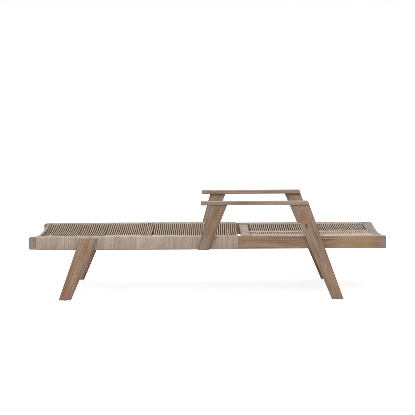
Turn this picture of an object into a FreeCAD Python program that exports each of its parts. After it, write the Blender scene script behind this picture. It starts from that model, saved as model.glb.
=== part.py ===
import FreeCAD, Part
import Sketcher
import os

# Low sun lounger of hardwood planks and wound cord, lying flat, in millimetres.
# X runs along the lounger from the foot end (-X) to the head end (+X), Z is up and the
# origin is on the floor under the middle. "Left" is the -Y side.

V = FreeCAD.Vector
X_AXIS = V(1, 0, 0)
Y_AXIS = V(0, 1, 0)
Z_AXIS = V(0, 0, 1)
SIDES = {"left": -1, "right": 1}

# Driving sizes. A size that says "station" is measured along X from the foot end.
SIZES = (
    # Side rails and planks
    ("frame_length", 2000, "side rail, end to end"),
    ("rail_spacing", 560, "clear width between the side rails"),
    ("rail_thickness", 35, "side rail, across"),
    ("rail_height", 69.5, "side rail, upright"),
    ("rail_top", 355, "floor to the top of the side rails"),
    ("rail_end_radius", 8, "rounded corner of a rail end, seen from the side"),
    ("edge_radius", 3, "eased edge of the timber"),
    ("plank_thickness", 27, "legs and arm posts"),
    ("front_leg_foot", 164.5, "station of the front leg's outer edge at the floor"),
    ("front_leg_foot_width", 68, "front leg at the floor"),
    ("front_leg_lean", 123.5, "front leg's top behind its foot"),
    ("front_leg_head_width", 97, "front leg at its top"),
    ("front_leg_drop", 4, "front leg's top below the rail's top"),
    ("arm_post_head", 1016, "station of the arm post's front edge under the armrest"),
    ("arm_post_lean", 70, "arm post's lower end before its head"),
    ("arm_post_foot_width", 62, "arm post at its lower end"),
    ("arm_post_head_width", 94, "arm post under the armrest"),
    ("rear_leg_inset", 303, "head end to the rear leg's front edge at the floor"),
    ("rear_leg_foot_width", 64, "rear leg at the floor"),
    ("rear_leg_lean", 226.5, "rear leg's head before its foot"),
    ("rear_leg_head_width", 97, "rear leg under the armrest"),
    # Armrests and feet
    ("arm_top", 554, "floor to the top of the armrests"),
    ("arm_thickness", 20, "armrest board"),
    ("arm_width", 60, "armrest board"),
    ("arm_front_overhang", 52, "armrest past the arm post"),
    ("arm_side_overhang", 5, "armrest past the outside of the arm post"),
    ("glide_diameter", 18, "foot glide"),
    ("glide_thickness", 3, "foot glide under the leg"),
    ("glide_nail_diameter", 4, "nail of a foot glide"),
    ("glide_nail_length", 15, "nail of a foot glide"),
    # Crossbars of the base
    ("foot_crossbar_inset", 19, "foot end to the foot crossbar"),
    ("foot_crossbar_width", 20, "along X"),
    ("foot_crossbar_lift", 12, "its bottom above the rail's bottom"),
    ("crossbar_scoop", 21, "depth of the hollow in the foot and head crossbars' tops"),
    ("seat_crossbar_width", 25, "along X"),
    ("seat_crossbar_lift", 3.5, "its bottom above the rail's bottom"),
    ("seat_crossbar_drop", 33, "its top below the rail's top"),
    ("front_seat_crossbar", 637, "station of its front face"),
    ("rear_seat_crossbar_inset", 36, "its rear face to the end of the seat's winding"),
    ("support_crossbar_width", 25, "along X"),
    ("support_crossbar_height", 30, "upright"),
    ("support_clearance", 0.3, "support crossbar to the flat backrest"),
    ("back_support_gap", 46, "back support crossbar to the prop's batten"),
    ("head_support_inset", 20, "head end to the head support crossbar"),
    # Cord
    ("cord_diameter", 2.9, "one strand"),
    ("cord_pitch", 11.75, "from one pair of strands to the next"),
    ("cord_clearance", 0.1, "winding to the timber"),
    ("net_border", 2, "strip that joins the strands at the rail"),
    ("seat_winding", 40, "station where the seat's winding starts"),
    ("seat_strand_margin", 17.5, "start of the seat's winding to its first strands"),
    ("seat_back_gap", 19, "end of the seat's winding to the backrest"),
    ("seat_sag", 30, "sag of the seat's top strands"),
    ("back_sag", 14, "sag of the backrest's top strands"),
    ("back_winding_margin", 10, "backrest crossbars to the winding"),
    # Fasteners
    ("bolt_diameter", 8, "leg bolt"),
    ("bolt_head_diameter", 12, "leg bolt"),
    ("bolt_head_height", 4, "leg bolt, sunk flush"),
    ("bolt_edge", 14, "leg bolt to the rail's top or bottom"),
    ("post_bolt_spacing", 22, "between the arm post's two bolts, upright"),
    ("post_bolt_stagger", 12, "arm post's bolts before and behind its middle line"),
    ("post_nut_gap", 6, "least, from the arm post's nuts to the rear seat crossbar"),
    ("nut_width", 13, "across the flats"),
    ("nut_height", 6.5, "leg bolt's nut"),
    ("nut_inset", 0.5, "nut below the rail's inner face"),
    ("nut_pocket_diameter", 18, "pocket for the nut"),
    ("dowel_diameter", 8, "joint dowel"),
    ("dowel_length", 40, "joint dowel"),
    ("dowel_spacing", 18, "between the two dowels of a joint"),
    ("dowel_edge", 7, "last dowel to the end of the lower crossbar"),
    ("spine_dowel_diameter", 5, "dowel of the backrest's middle bar"),
    ("spine_dowel_length", 30, "dowel of the backrest's middle bar"),
    ("spine_dowel_spacing", 20, "between the two dowels of the middle bar's end"),
    ("arm_dowel_depth", 12, "dowel in the armrest"),
    ("arm_dowel_spacing", 40, "between the two dowels of an armrest joint"),
    ("screw_diameter", 4, "batten and rack screws"),
    ("screw_length", 30, "batten and rack screws"),
    ("screw_head_diameter", 8, "countersunk head"),
    ("screw_head_height", 2.5, "countersunk head"),
    ("hole_clearance", 0.2, "round a bolt, dowel, nail or screw"),
    # Backrest
    ("back_gap", 4, "backrest's winding to the side rail"),
    ("back_rail_width", 32, "across"),
    ("back_rail_height", 30, "upright"),
    ("lower_crossbar_lead", 11, "lower crossbar's front edge before the pivot"),
    ("lower_crossbar_width", 52, "along X"),
    ("lower_crossbar_thickness", 20, "upright"),
    ("lower_crossbar_drop", 3, "its top below the rail's top"),
    ("head_crossbar_width", 57, "along X"),
    ("head_crossbar_height", 36, "at its ends"),
    ("spine_width", 44, "middle bar under the backrest's strands, across"),
    ("spine_lift", 0.5, "middle bar above the lower strands"),
    ("pivot_station", 1201, "station of the backrest's pivot"),
    ("pivot_diameter", 10, "pivot bolt"),
    ("pivot_head_diameter", 15, "pivot bolt's head"),
    ("pivot_head_height", 3, "pivot bolt's head"),
    ("pivot_depth", 26, "pivot bolt in the backrest rail"),
    ("pivot_clearance", 0.05, "running clearance of the pivots"),
    ("bush_diameter", 14, "pivot bush"),
    ("washer_diameter", 24, "pivot spacer washer"),
    ("washer_clearance", 0.3, "spacer washer to the backrest rail"),
    # Prop of the backrest
    ("full_tilt", 60, "degrees, backrest right up"),
    ("prop_ratio", 1.8, "prop's swing for each degree of tilt"),
    ("prop_reach_share", 0.4394, "pivot to the prop's hinge, of the backrest rail's length"),
    ("prop_length_share", 0.5391, "prop's hinge to its rod, of the backrest rail's length"),
    ("prop_gap", 3, "backrest's winding to the folded prop"),
    ("prop_arm_thickness", 18, "upright when folded"),
    ("prop_arm_width", 30, "across"),
    ("prop_arm_inset", 46, "middle of a prop arm to the batten's end"),
    ("prop_rod_diameter", 10, "rod that stands in the racks"),
    ("prop_rod_gap", 2, "rod's end to the side rail"),
    ("hinge_pin_diameter", 6, "prop hinge"),
    ("hinge_setback", 16, "prop hinge to the batten"),
    ("batten_width", 60, "along X"),
    ("batten_thickness", 18, "upright"),
    ("batten_gap", 4, "batten's end to the rack"),
    ("batten_screw_spacing", 36, "between the two screws at a batten's end"),
    ("bracket_thickness", 2, "steel of the hinge bracket"),
    ("bracket_ear", 7, "hinge pin to the end of the bracket's ear"),
    ("bracket_clearance", 0.3, "bracket's ear to the prop arm"),
    ("bracket_screw_length", 16, "screw of the hinge bracket"),
    ("bracket_screw_spacing", 16, "between the two screws of a bracket"),
    ("pin_head_diameter", 9, "riveted head of the hinge pin"),
    ("pin_head_height", 1.5, "riveted head of the hinge pin"),
    ("rack_thickness", 20, "across"),
    ("rack_tip_gap", 0.5, "folded rod to the rack's tips"),
    ("rack_lead", 18, "rack past its first notch and past the folded rod"),
    ("notch_count", 5, "notches of a rack"),
    ("notch_rest_gap", 41, "last notch to the folded rod"),
    ("notch_depth", 8, "below the rack's tips"),
    ("notch_width", 18, "mouth of a notch"),
    ("notch_clearance", 0.5, "rod to the notch's upright wall"),
)

# Places worked out from the driving sizes.
PLACES = (
    ("foot_end", "-Sizes.frame_length / 2"),
    ("head_end", "Sizes.frame_length / 2"),
    ("rail_bottom", "Sizes.rail_top - Sizes.rail_height"),
    ("rail_inner", "Sizes.rail_spacing / 2"),
    ("rail_outer", "rail_inner + Sizes.rail_thickness"),
    ("wrap_wall", "Sizes.cord_clearance + Sizes.cord_diameter"),
    ("wrap_outer", "rail_outer + wrap_wall"),
    ("wrap_inner", "rail_inner - wrap_wall"),
    ("rail_inner_left", "-rail_inner"),
    # Strands end where they meet the rounded corner of the winding
    ("corner_radius", "Sizes.edge_radius + wrap_wall"),
    ("corner_rise", "Sizes.edge_radius + Sizes.cord_clearance"),
    ("corner_reach", "corner_radius - sqrt(corner_radius^2 - corner_rise^2) - Sizes.cord_clearance"),
    ("seat_strand_end", "wrap_inner + corner_reach"),
    ("arm_bottom", "Sizes.arm_top - Sizes.arm_thickness"),
    # Planks: edges along X at the foot and the head, lower and upper level, inner face
    ("front_leg_foot_front", "foot_end + Sizes.front_leg_foot"),
    ("front_leg_foot_rear", "front_leg_foot_front + Sizes.front_leg_foot_width"),
    ("front_leg_head_front", "front_leg_foot_front + Sizes.front_leg_lean"),
    ("front_leg_head_rear", "front_leg_head_front + Sizes.front_leg_head_width"),
    ("front_leg_low", "Sizes.glide_thickness"),
    ("front_leg_high", "Sizes.rail_top - Sizes.front_leg_drop"),
    ("front_leg_inner", "wrap_outer"),
    ("arm_post_head_front", "foot_end + Sizes.arm_post_head"),
    ("arm_post_head_rear", "arm_post_head_front + Sizes.arm_post_head_width"),
    ("arm_post_foot_front", "arm_post_head_front - Sizes.arm_post_lean"),
    ("arm_post_foot_rear", "arm_post_foot_front + Sizes.arm_post_foot_width"),
    ("arm_post_low", "rail_bottom - wrap_wall"),
    ("arm_post_high", "arm_bottom"),
    ("arm_post_inner", "wrap_outer"),
    ("rear_leg_foot_front", "head_end - Sizes.rear_leg_inset"),
    ("rear_leg_foot_rear", "rear_leg_foot_front + Sizes.rear_leg_foot_width"),
    ("rear_leg_head_front", "rear_leg_foot_front - Sizes.rear_leg_lean"),
    ("rear_leg_head_rear", "rear_leg_head_front + Sizes.rear_leg_head_width"),
    ("rear_leg_low", "Sizes.glide_thickness"),
    ("rear_leg_high", "arm_bottom"),
    ("rear_leg_inner", "rail_outer"),
    # Armrests: the rear end is cut in line with the rear leg
    ("arm_front", "arm_post_head_front - Sizes.arm_front_overhang"),
    ("rear_leg_slope", "(rear_leg_foot_rear - rear_leg_head_rear) / (rear_leg_high - rear_leg_low)"),
    ("arm_rear_high", "rear_leg_head_rear - Sizes.arm_thickness * rear_leg_slope"),
    ("arm_outer", "arm_post_inner + Sizes.plank_thickness + Sizes.arm_side_overhang"),
    ("arm_inner", "arm_outer - Sizes.arm_width"),
    # Windings and crossbars of the base
    ("seat_winding_start", "foot_end + Sizes.seat_winding"),
    ("seat_strand_start", "seat_winding_start + Sizes.seat_strand_margin"),
    ("seat_winding_end", "lower_crossbar_front - Sizes.seat_back_gap"),
    ("foot_crossbar_front", "foot_end + Sizes.foot_crossbar_inset"),
    ("foot_crossbar_bottom", "rail_bottom + Sizes.foot_crossbar_lift"),
    ("foot_scoop_radius", "(rail_inner^2 + Sizes.crossbar_scoop^2) / (2 * Sizes.crossbar_scoop)"),
    ("seat_crossbar_top", "Sizes.rail_top - Sizes.seat_crossbar_drop"),
    ("seat_crossbar_bottom", "rail_bottom + Sizes.seat_crossbar_lift"),
    ("front_seat_crossbar_front", "foot_end + Sizes.front_seat_crossbar"),
    ("front_seat_crossbar_rear", "front_seat_crossbar_front + Sizes.seat_crossbar_width"),
    # The rear seat crossbar stands near the end of the winding, and behind the arm post's nuts
    ("post_bolt_low", "Sizes.rail_top - Sizes.bolt_edge - Sizes.post_bolt_spacing"),
    ("post_bolt_share", "(post_bolt_low - arm_post_low) / (arm_post_high - arm_post_low)"),
    ("arm_post_foot_middle", "(arm_post_foot_front + arm_post_foot_rear) / 2"),
    ("arm_post_head_middle", "(arm_post_head_front + arm_post_head_rear) / 2"),
    ("post_bolt_run", "(arm_post_head_middle - arm_post_foot_middle) * post_bolt_share"),
    ("post_bolt_rear", "arm_post_foot_middle + post_bolt_run + Sizes.post_bolt_stagger"),
    ("post_nut_rear", "post_bolt_rear + Sizes.nut_pocket_diameter / 2 + Sizes.post_nut_gap"),
    ("winding_crossbar_rear", "seat_winding_end - Sizes.rear_seat_crossbar_inset"),
    ("rear_seat_crossbar_rear", "max(winding_crossbar_rear; post_nut_rear + Sizes.seat_crossbar_width)"),
    ("rear_seat_crossbar_front", "rear_seat_crossbar_rear - Sizes.seat_crossbar_width"),
    # Backrest
    ("back_rail_outer", "wrap_inner - Sizes.back_gap"),
    ("back_rail_inner", "back_rail_outer - Sizes.back_rail_width"),
    ("head_scoop_radius", "(back_rail_outer^2 + Sizes.crossbar_scoop^2) / (2 * Sizes.crossbar_scoop)"),
    ("back_rail_bottom", "Sizes.rail_top - Sizes.back_rail_height"),
    ("back_rail_end", "head_end - Sizes.head_crossbar_width"),
    ("back_rail_outer_left", "-back_rail_outer"),
    ("back_strand_end", "back_rail_inner - wrap_wall + corner_reach"),
    ("back_wrap_bottom", "back_rail_bottom - wrap_wall"),
    ("pivot_x", "foot_end + Sizes.pivot_station"),
    ("pivot_z", "Sizes.rail_top - Sizes.back_rail_height / 2"),
    ("lower_crossbar_front", "pivot_x - Sizes.lower_crossbar_lead"),
    ("lower_crossbar_rear", "lower_crossbar_front + Sizes.lower_crossbar_width"),
    ("lower_crossbar_top", "Sizes.rail_top - Sizes.lower_crossbar_drop"),
    ("lower_crossbar_bottom", "lower_crossbar_top - Sizes.lower_crossbar_thickness"),
    ("back_winding_start", "lower_crossbar_rear + Sizes.back_winding_margin"),
    ("back_winding_end", "back_rail_end - Sizes.back_winding_margin"),
    ("back_support_rear", "batten_front - Sizes.back_support_gap"),
    ("back_support_front", "back_support_rear - Sizes.support_crossbar_width"),
    ("back_support_top", "back_wrap_bottom - Sizes.support_clearance"),
    ("back_support_bottom", "back_support_top - Sizes.support_crossbar_height"),
    ("head_support_front", "head_end - Sizes.head_support_inset - Sizes.support_crossbar_width"),
    ("head_support_rear", "head_end - Sizes.head_support_inset"),
    ("head_crossbar_bottom", "Sizes.rail_top - Sizes.head_crossbar_height"),
    ("head_crossbar_middle", "Sizes.rail_top - Sizes.crossbar_scoop"),
    ("strand_middle", "Sizes.rail_top + wrap_wall - Sizes.back_sag - Sizes.cord_diameter"),
    ("spine_top", "strand_middle - Sizes.cord_clearance"),
    ("spine_bottom", "back_rail_bottom + Sizes.spine_lift"),
    ("head_support_top", "head_crossbar_bottom - Sizes.support_clearance"),
    ("head_support_bottom", "head_support_top - Sizes.support_crossbar_height"),
    # Prop: the rod's place at full tilt sets the first notch of the racks
    ("prop_reach", "Sizes.prop_reach_share * (back_rail_end - pivot_x)"),
    ("prop_length", "Sizes.prop_length_share * (back_rail_end - pivot_x)"),
    ("hinge_x", "pivot_x + prop_reach"),
    ("hinge_z", "back_wrap_bottom - Sizes.prop_gap - Sizes.prop_arm_thickness / 2"),
    ("rod_x", "hinge_x + prop_length"),
    ("prop_arm_top", "hinge_z + Sizes.prop_arm_thickness / 2"),
    ("prop_arm_bottom", "hinge_z - Sizes.prop_arm_thickness / 2"),
    ("hinge_bore", "Sizes.hinge_pin_diameter / 2 + Sizes.pivot_clearance"),
    ("rod_bore", "Sizes.prop_rod_diameter / 2 + Sizes.pivot_clearance"),
    ("tilt", "Sizes.full_tilt * 1 deg"),
    ("prop_fall", "(Sizes.prop_ratio - 1) * tilt"),
    ("hinge_shift", "prop_reach * cos(tilt) + (pivot_z - hinge_z) * sin(tilt)"),
    ("notch_x", "pivot_x + hinge_shift + prop_length * cos(prop_fall)"),
    ("batten_rear", "hinge_x - Sizes.hinge_setback"),
    ("batten_front", "batten_rear - Sizes.batten_width"),
    ("batten_bottom", "back_wrap_bottom - Sizes.batten_thickness"),
    ("batten_half", "rail_inner - Sizes.rack_thickness - Sizes.batten_gap"),
    ("prop_arm_offset", "batten_half - Sizes.prop_arm_inset"),
    ("rack_inner", "rail_inner - Sizes.rack_thickness"),
    ("rack_tip", "hinge_z - Sizes.prop_rod_diameter / 2 - Sizes.rack_tip_gap"),
    ("rack_front", "notch_x - Sizes.rack_lead"),
    ("rack_rear", "rod_x + Sizes.rack_lead"),
    ("rack_run", "rod_x - Sizes.notch_rest_gap - notch_x"),
    ("notch_pitch", "rack_run / (Sizes.notch_count - 1)"),
    ("notch_wall", "notch_x + Sizes.prop_rod_diameter / 2 + Sizes.notch_clearance"),
    ("notch_floor", "rack_tip - Sizes.notch_depth"),
    ("notch_floor_front", "notch_x - Sizes.prop_rod_diameter / 2"),
    ("notch_mouth", "notch_wall - Sizes.notch_width"),
    ("notch_over", "rack_tip + Sizes.notch_depth"),
)

PLANKS = ("front_leg", "arm_post", "rear_leg")
CROSSBARS = ("foot_crossbar", "front_seat_crossbar", "rear_seat_crossbar", "back_support", "head_support")

doc = FreeCAD.newDocument("SunLounger")
nodes = {}


def fill_sheet(name, rows):
    """Make a spreadsheet with one named cell per row."""
    sheet = doc.addObject("Spreadsheet::Sheet", name)
    for line, (alias, text, *note) in enumerate(rows, 1):
        sheet.set(f"A{line}", note[0] if note else alias)
        sheet.set(f"B{line}", str(text))
        sheet.setAlias(f"B{line}", alias)
    return sheet


sizes = fill_sheet("Sizes", SIZES)
places = fill_sheet("Places", [(alias, f"={formula}") for alias, formula in PLACES])
doc.recompute()


def num(cell):
    """The number in a named cell, such as Sizes.rail_top."""
    sheet, alias = cell.split(".")
    found = getattr(doc.getObject(sheet), alias)
    return float(getattr(found, "Value", found))


def size(alias):
    return num(f"Sizes.{alias}")


def at(alias):
    return num(f"Places.{alias}")


def bind(thing, **cells):
    """Tie properties of an object to cells or formulas; a double underscore stands for a dot."""
    for name, formula in cells.items():
        thing.setExpression(name.replace("__", "."), formula)


def keep(label, thing):
    """Name a finished sub-part, so that it is written out."""
    thing.Label = label
    nodes[label] = thing
    return thing


def keep_shape(label, shapes):
    """A sub-part that is a group of like solids."""
    thing = doc.addObject("Part::Feature", label)
    thing.Shape = Part.makeCompound(shapes)
    return keep(label, thing)


def drilled(label, blank, tools):
    """Cut holes, pockets and windows in a blank and keep the result."""
    cutters = doc.addObject("Part::Feature", f"{label}_cutters")
    cutters.Shape = Part.makeCompound(tools)
    cut = doc.addObject("Part::Cut", f"{label}_drilled")
    cut.Base = blank
    cut.Tool = cutters
    return keep(label, cut)


# Sketched blanks

def new_body(name):
    return doc.addObject("PartDesign::Body", f"{name}_blank")


def new_sketch(body, plane, name):
    """A sketch on one of the body's own origin planes."""
    sketch = body.newObject("Sketcher::SketchObject", f"{body.Name}_{name}")
    support = next(item for item in body.Origin.OriginFeatures if item.Role == plane)
    sketch.AttachmentSupport = [(support, "")]
    sketch.MapMode = "FlatFace"
    return sketch


def pin_point(sketch, line, end, across, up):
    """Fix one end of a line by two cells."""
    for kind, cell in (("DistanceX", across), ("DistanceY", up)):
        index = sketch.addConstraint(Sketcher.Constraint(kind, -1, 1, line, end, num(cell)))
        sketch.renameConstraint(index, f"{kind}_{line}_{end}")
        sketch.setExpression(f".Constraints.{kind}_{line}_{end}", cell)


def draw_outline(sketch, corners, closed=True):
    """Straight lines through corners that are given as pairs of cells; returns the line numbers."""
    points = [V(num(across), num(up), 0) for across, up in corners]
    pairs = list(zip(points, points[1:] + points[:1]))
    lines = [sketch.addGeometry(Part.LineSegment(a, b), False) for a, b in pairs[:None if closed else -1]]
    for before, after in zip(lines, lines[1:]):
        sketch.addConstraint(Sketcher.Constraint("Coincident", before, 2, after, 1))
    if closed:
        sketch.addConstraint(Sketcher.Constraint("Coincident", lines[-1], 2, lines[0], 1))
    for line, (across, up) in zip(lines, corners):
        pin_point(sketch, line, 1, across, up)
    if not closed:
        pin_point(sketch, lines[-1], 2, *corners[-1])
    return lines


def draw_circle(sketch, across, up, radius):
    """A circle fixed by three cells: its middle and its radius."""
    circle = sketch.addGeometry(Part.Circle(V(num(across), num(up), 0), Z_AXIS, num(radius)), False)
    pin_point(sketch, circle, 3, across, up)
    index = sketch.addConstraint(Sketcher.Constraint("Radius", circle, num(radius)))
    sketch.renameConstraint(index, f"radius_{circle}")
    sketch.setExpression(f".Constraints.radius_{circle}", radius)


def pad(body, sketch, length, reverse=False):
    feature = body.newObject("PartDesign::Pad", f"{sketch.Name}_pad")
    feature.Profile = sketch
    feature.Reversed = reverse
    bind(feature, Length=length)
    doc.recompute()
    return feature


def ease(body, feature, radius, wanted):
    """Round the edges of a feature that pass the test."""
    edges = [f"Edge{k}" for k, edge in enumerate(feature.Shape.Edges, 1) if wanted(edge)]
    fillet = body.newObject("PartDesign::Fillet", f"{feature.Name}_eased")
    fillet.Base = (feature, edges)
    bind(fillet, Radius=radius)
    doc.recompute()
    return fillet


def flat_in(edge, axis):
    return abs(getattr(edge.BoundBox, f"{axis}Length")) < 1e-6


def side_blank(name, side, corners, thickness, inner, wanted=None, radius="Sizes.edge_radius"):
    """A board drawn from the side: its inner face stands at a distance from the middle plane."""
    body = new_body(name)
    sketch = new_sketch(body, "XZ_Plane", "outline")
    draw_outline(sketch, corners)
    board = pad(body, sketch, thickness, reverse=side > 0)
    bind(body, Placement__Base__y=f"{side} * ({inner})")
    if wanted:
        ease(body, board, radius, wanted)
    return body


def bar_blank(name, front, rear, low, high, half, eased=True):
    """A straight crossbar that reaches as far to the left as to the right."""
    corners = ((front, low), (rear, low), (rear, high), (front, high))
    body = new_body(name)
    sketch = new_sketch(body, "XZ_Plane", "outline")
    draw_outline(sketch, corners)
    bar = pad(body, sketch, f"2 * ({half})")
    bind(body, Placement__Base__y=half)
    if eased:
        ease(body, bar, "Sizes.edge_radius", lambda edge: flat_in(edge, "X") and flat_in(edge, "Z"))
    return body


def scooped_blank(name, low, high, left, right, radius, front, width):
    """A crossbar whose top is hollowed in one arc from end to end."""
    body = new_body(name)
    sketch = new_sketch(body, "YZ_Plane", "outline")
    lines = draw_outline(sketch, ((left, high), (left, low), (right, low), (right, high)), closed=False)
    start = V(num(left), num(high), 0)
    finish = V(num(right), num(high), 0)
    hollow = V(0, num(high) - size("crossbar_scoop"), 0)
    arc = sketch.addGeometry(Part.Arc(start, hollow, finish), False)
    sketch.addConstraint(Sketcher.Constraint("Coincident", arc, 1, lines[0], 1))
    sketch.addConstraint(Sketcher.Constraint("Coincident", arc, 2, lines[-1], 2))
    index = sketch.addConstraint(Sketcher.Constraint("Radius", arc, num(radius)))
    sketch.renameConstraint(index, "scoop")
    sketch.setExpression(".Constraints.scoop", radius)
    bar = pad(body, sketch, width)
    bind(body, Placement__Base__x=front)
    ease(body, bar, "Sizes.edge_radius", lambda edge: isinstance(edge.Curve, Part.Circle))
    return body


def round_end(sketch, before, after, middle):
    """Join the end of one line to the start of the next by a half circle about a cell's X."""
    start = sketch.getPoint(before, 2)
    finish = sketch.getPoint(after, 1)
    outward = (finish - start).cross(Z_AXIS) / 2
    arc = sketch.addGeometry(Part.Arc(start, (start + finish) / 2 + outward, finish), False)
    sketch.addConstraint(Sketcher.Constraint("Coincident", before, 2, arc, 1))
    sketch.addConstraint(Sketcher.Constraint("Coincident", arc, 2, after, 1))
    index = sketch.addConstraint(Sketcher.Constraint("DistanceX", -1, 1, arc, 3, num(middle)))
    sketch.renameConstraint(index, f"middle_{arc}")
    sketch.setExpression(f".Constraints.middle_{arc}", middle)


# Boxes, cylinders and fasteners

def box(name, low, spans):
    """A box tied to formulas for its low corner and its lengths along X, Y and Z."""
    thing = doc.addObject("Part::Box", name)
    bind(thing, Placement__Base__x=low[0], Placement__Base__y=low[1], Placement__Base__z=low[2],
         Length=spans[0], Width=spans[1], Height=spans[2])
    doc.recompute()
    return thing


def sleeve_blank(name, side, start, length, inner, outer, low, high):
    """Cord wound round a rail: a thin rounded tube along X, clear of the timber inside it."""
    layers = []
    for layer, grow in (("outside", "Places.wrap_wall"), ("inside", "Sizes.cord_clearance")):
        near = inner if side > 0 else f"-({outer})"
        low_corner = (start, f"{near} - {grow}", f"{low} - {grow}")
        spans = (length, f"{outer} - {inner} + 2 * {grow}", f"{high} - ({low}) + 2 * {grow}")
        tube = box(f"{name}_{layer}", low_corner, spans)
        radius = size("edge_radius") + num(grow)
        edges = [k for k, edge in enumerate(tube.Shape.Edges, 1) if flat_in(edge, "Y") and flat_in(edge, "Z")]
        rounded = doc.addObject("Part::Fillet", f"{name}_{layer}_rounded")
        rounded.Base = tube
        rounded.Edges = [(k, radius, radius) for k in edges]
        layers.append(rounded)
    sleeve = doc.addObject("Part::Cut", f"{name}_blank")
    sleeve.Base, sleeve.Tool = layers
    return sleeve


def y_cylinder(radius, side, start, stop, x, z):
    """A cylinder along Y between two distances from the middle plane, on one side of it."""
    low, high = sorted((side * start, side * stop))
    return Part.makeCylinder(radius, high - low, V(x, low, z), Y_AXIS)


def countersunk(base, direction, length, clearance=0):
    """A countersunk screw from the face where its head lies flush, or the hole for it."""
    shank_radius = size("screw_diameter") / 2 + clearance
    head_radius = size("screw_head_diameter") / 2 + clearance
    shank = Part.makeCylinder(shank_radius, length + clearance, base, direction)
    head = Part.makeCone(head_radius, shank_radius, size("screw_head_height"), base, direction)
    return shank.fuse(head)


def hexagon(width, side, start, stop, x, z):
    """A six-sided prism along Y, as wide across its flats as stated."""
    prism = y_cylinder(width, side, start, stop, x, z)
    low = side * start if side > 0 else side * stop
    reach = 2 * width
    for turn in range(6):
        slab = Part.makeBox(reach, abs(stop - start), reach, V(width / 2, low, -reach / 2))
        slab.rotate(V(0, 0, 0), Y_AXIS, 60 * turn)
        slab.translate(V(x, 0, z))
        prism = prism.cut(slab)
    return prism


def plank_middle(plank, z):
    """X of a plank's middle line at a height."""
    foot = (at(f"{plank}_foot_front") + at(f"{plank}_foot_rear")) / 2
    head = (at(f"{plank}_head_front") + at(f"{plank}_head_rear")) / 2
    share = (z - at(f"{plank}_low")) / (at(f"{plank}_high") - at(f"{plank}_low"))
    return foot + (head - foot) * share


def leg_bolt_places():
    """Plank, X and Z of each bolt on one side: one under the other, on the arm post on a slant."""
    high = size("rail_top") - size("bolt_edge")
    levels = (high, at("rail_bottom") + size("bolt_edge"))
    places = [(plank, plank_middle(plank, z), z) for plank in ("front_leg", "rear_leg") for z in levels]
    for z, shift in ((high, -1), (high - size("post_bolt_spacing"), 1)):
        places.append(("arm_post", plank_middle("arm_post", z) + shift * size("post_bolt_stagger"), z))
    return places


def leg_bolt(side, plank, x, z, clearance=0):
    """A bolt sunk flush in the plank, as long as its nut reaches, or the hole for it."""
    face = at(f"{plank}_inner") + size("plank_thickness")
    tip = at("rail_inner") + size("nut_inset")
    shank = y_cylinder(size("bolt_diameter") / 2 + clearance, side, tip, face, x, z)
    head_start = face - size("bolt_head_height")
    return shank.fuse(y_cylinder(size("bolt_head_diameter") / 2 + clearance, side, head_start, face, x, z))


def leg_nut(side, x, z):
    start = at("rail_inner") + size("nut_inset")
    stop = start + size("nut_height")
    bore = y_cylinder(size("bolt_diameter") / 2 + size("hole_clearance"), side, start, stop, x, z)
    return hexagon(size("nut_width"), side, start, stop, x, z).cut(bore)


def nut_pocket(side, x, z):
    stop = at("rail_inner") + size("nut_inset") + size("nut_height")
    return y_cylinder(size("nut_pocket_diameter") / 2, side, at("rail_inner"), stop, x, z)


def leg_bores(side, planks=PLANKS):
    clearance = size("hole_clearance")
    return [leg_bolt(side, plank, x, z, clearance) for plank, x, z in leg_bolt_places() if plank in planks]


def crossbar_middle(bar):
    """X and Z of the middle of a base crossbar's end."""
    if bar == "foot_crossbar":
        x = at("foot_crossbar_front") + size("foot_crossbar_width") / 2
        return x, (at("foot_crossbar_bottom") + size("rail_top")) / 2
    level = "seat_crossbar" if bar.endswith("seat_crossbar") else bar
    x = (at(f"{bar}_front") + at(f"{bar}_rear")) / 2
    return x, (at(f"{level}_bottom") + at(f"{level}_top")) / 2


def crossbar_dowels(side, bar, clearance=0):
    """The two dowels of a base crossbar's end, half in the side rail, or the holes for them."""
    x, middle = crossbar_middle(bar)
    reach = size("dowel_length") / 2 + clearance
    radius = size("dowel_diameter") / 2 + clearance
    face = at("rail_inner")
    levels = (middle - size("dowel_spacing") / 2, middle + size("dowel_spacing") / 2)
    return [y_cylinder(radius, side, face - reach, face + reach, x, z) for z in levels]


def lower_crossbar_dowels(side, clearance=0):
    """Dowels of the backrest's lower crossbar, behind the pivot bush."""
    reach = size("dowel_length") / 2 + clearance
    radius = size("dowel_diameter") / 2 + clearance
    z = (at("lower_crossbar_bottom") + at("lower_crossbar_top")) / 2
    last = at("lower_crossbar_rear") - size("dowel_edge")
    return [y_cylinder(radius, side, at("back_rail_inner") - reach, at("back_rail_inner") + reach, x, z)
            for x in (last - size("dowel_spacing"), last)]


def head_crossbar_dowels(side, clearance=0):
    """Dowels along X from a backrest rail into the head crossbar."""
    reach = size("dowel_length") / 2 + clearance
    radius = size("dowel_diameter") / 2 + clearance
    middle = side * (at("back_rail_inner") + at("back_rail_outer")) / 2
    half = size("dowel_spacing") / 2
    start = at("back_rail_end") - reach
    return [Part.makeCylinder(radius, 2 * reach, V(start, y, at("pivot_z")), X_AXIS)
            for y in (middle - half, middle + half)]


def spine_dowels(clearance=0):
    """Dowels along X from the middle bar into the backrest's two crossbars."""
    reach = size("spine_dowel_length") / 2 + clearance
    radius = size("spine_dowel_diameter") / 2 + clearance
    half = size("spine_dowel_spacing") / 2
    lower = at("lower_crossbar_rear"), (at("lower_crossbar_bottom") + at("spine_top")) / 2
    head = at("back_rail_end"), (at("spine_bottom") + at("head_crossbar_middle")) / 2
    return [Part.makeCylinder(radius, 2 * reach, V(face - reach, y, z), X_AXIS)
            for face, z in (lower, head) for y in (-half, half)]


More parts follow.
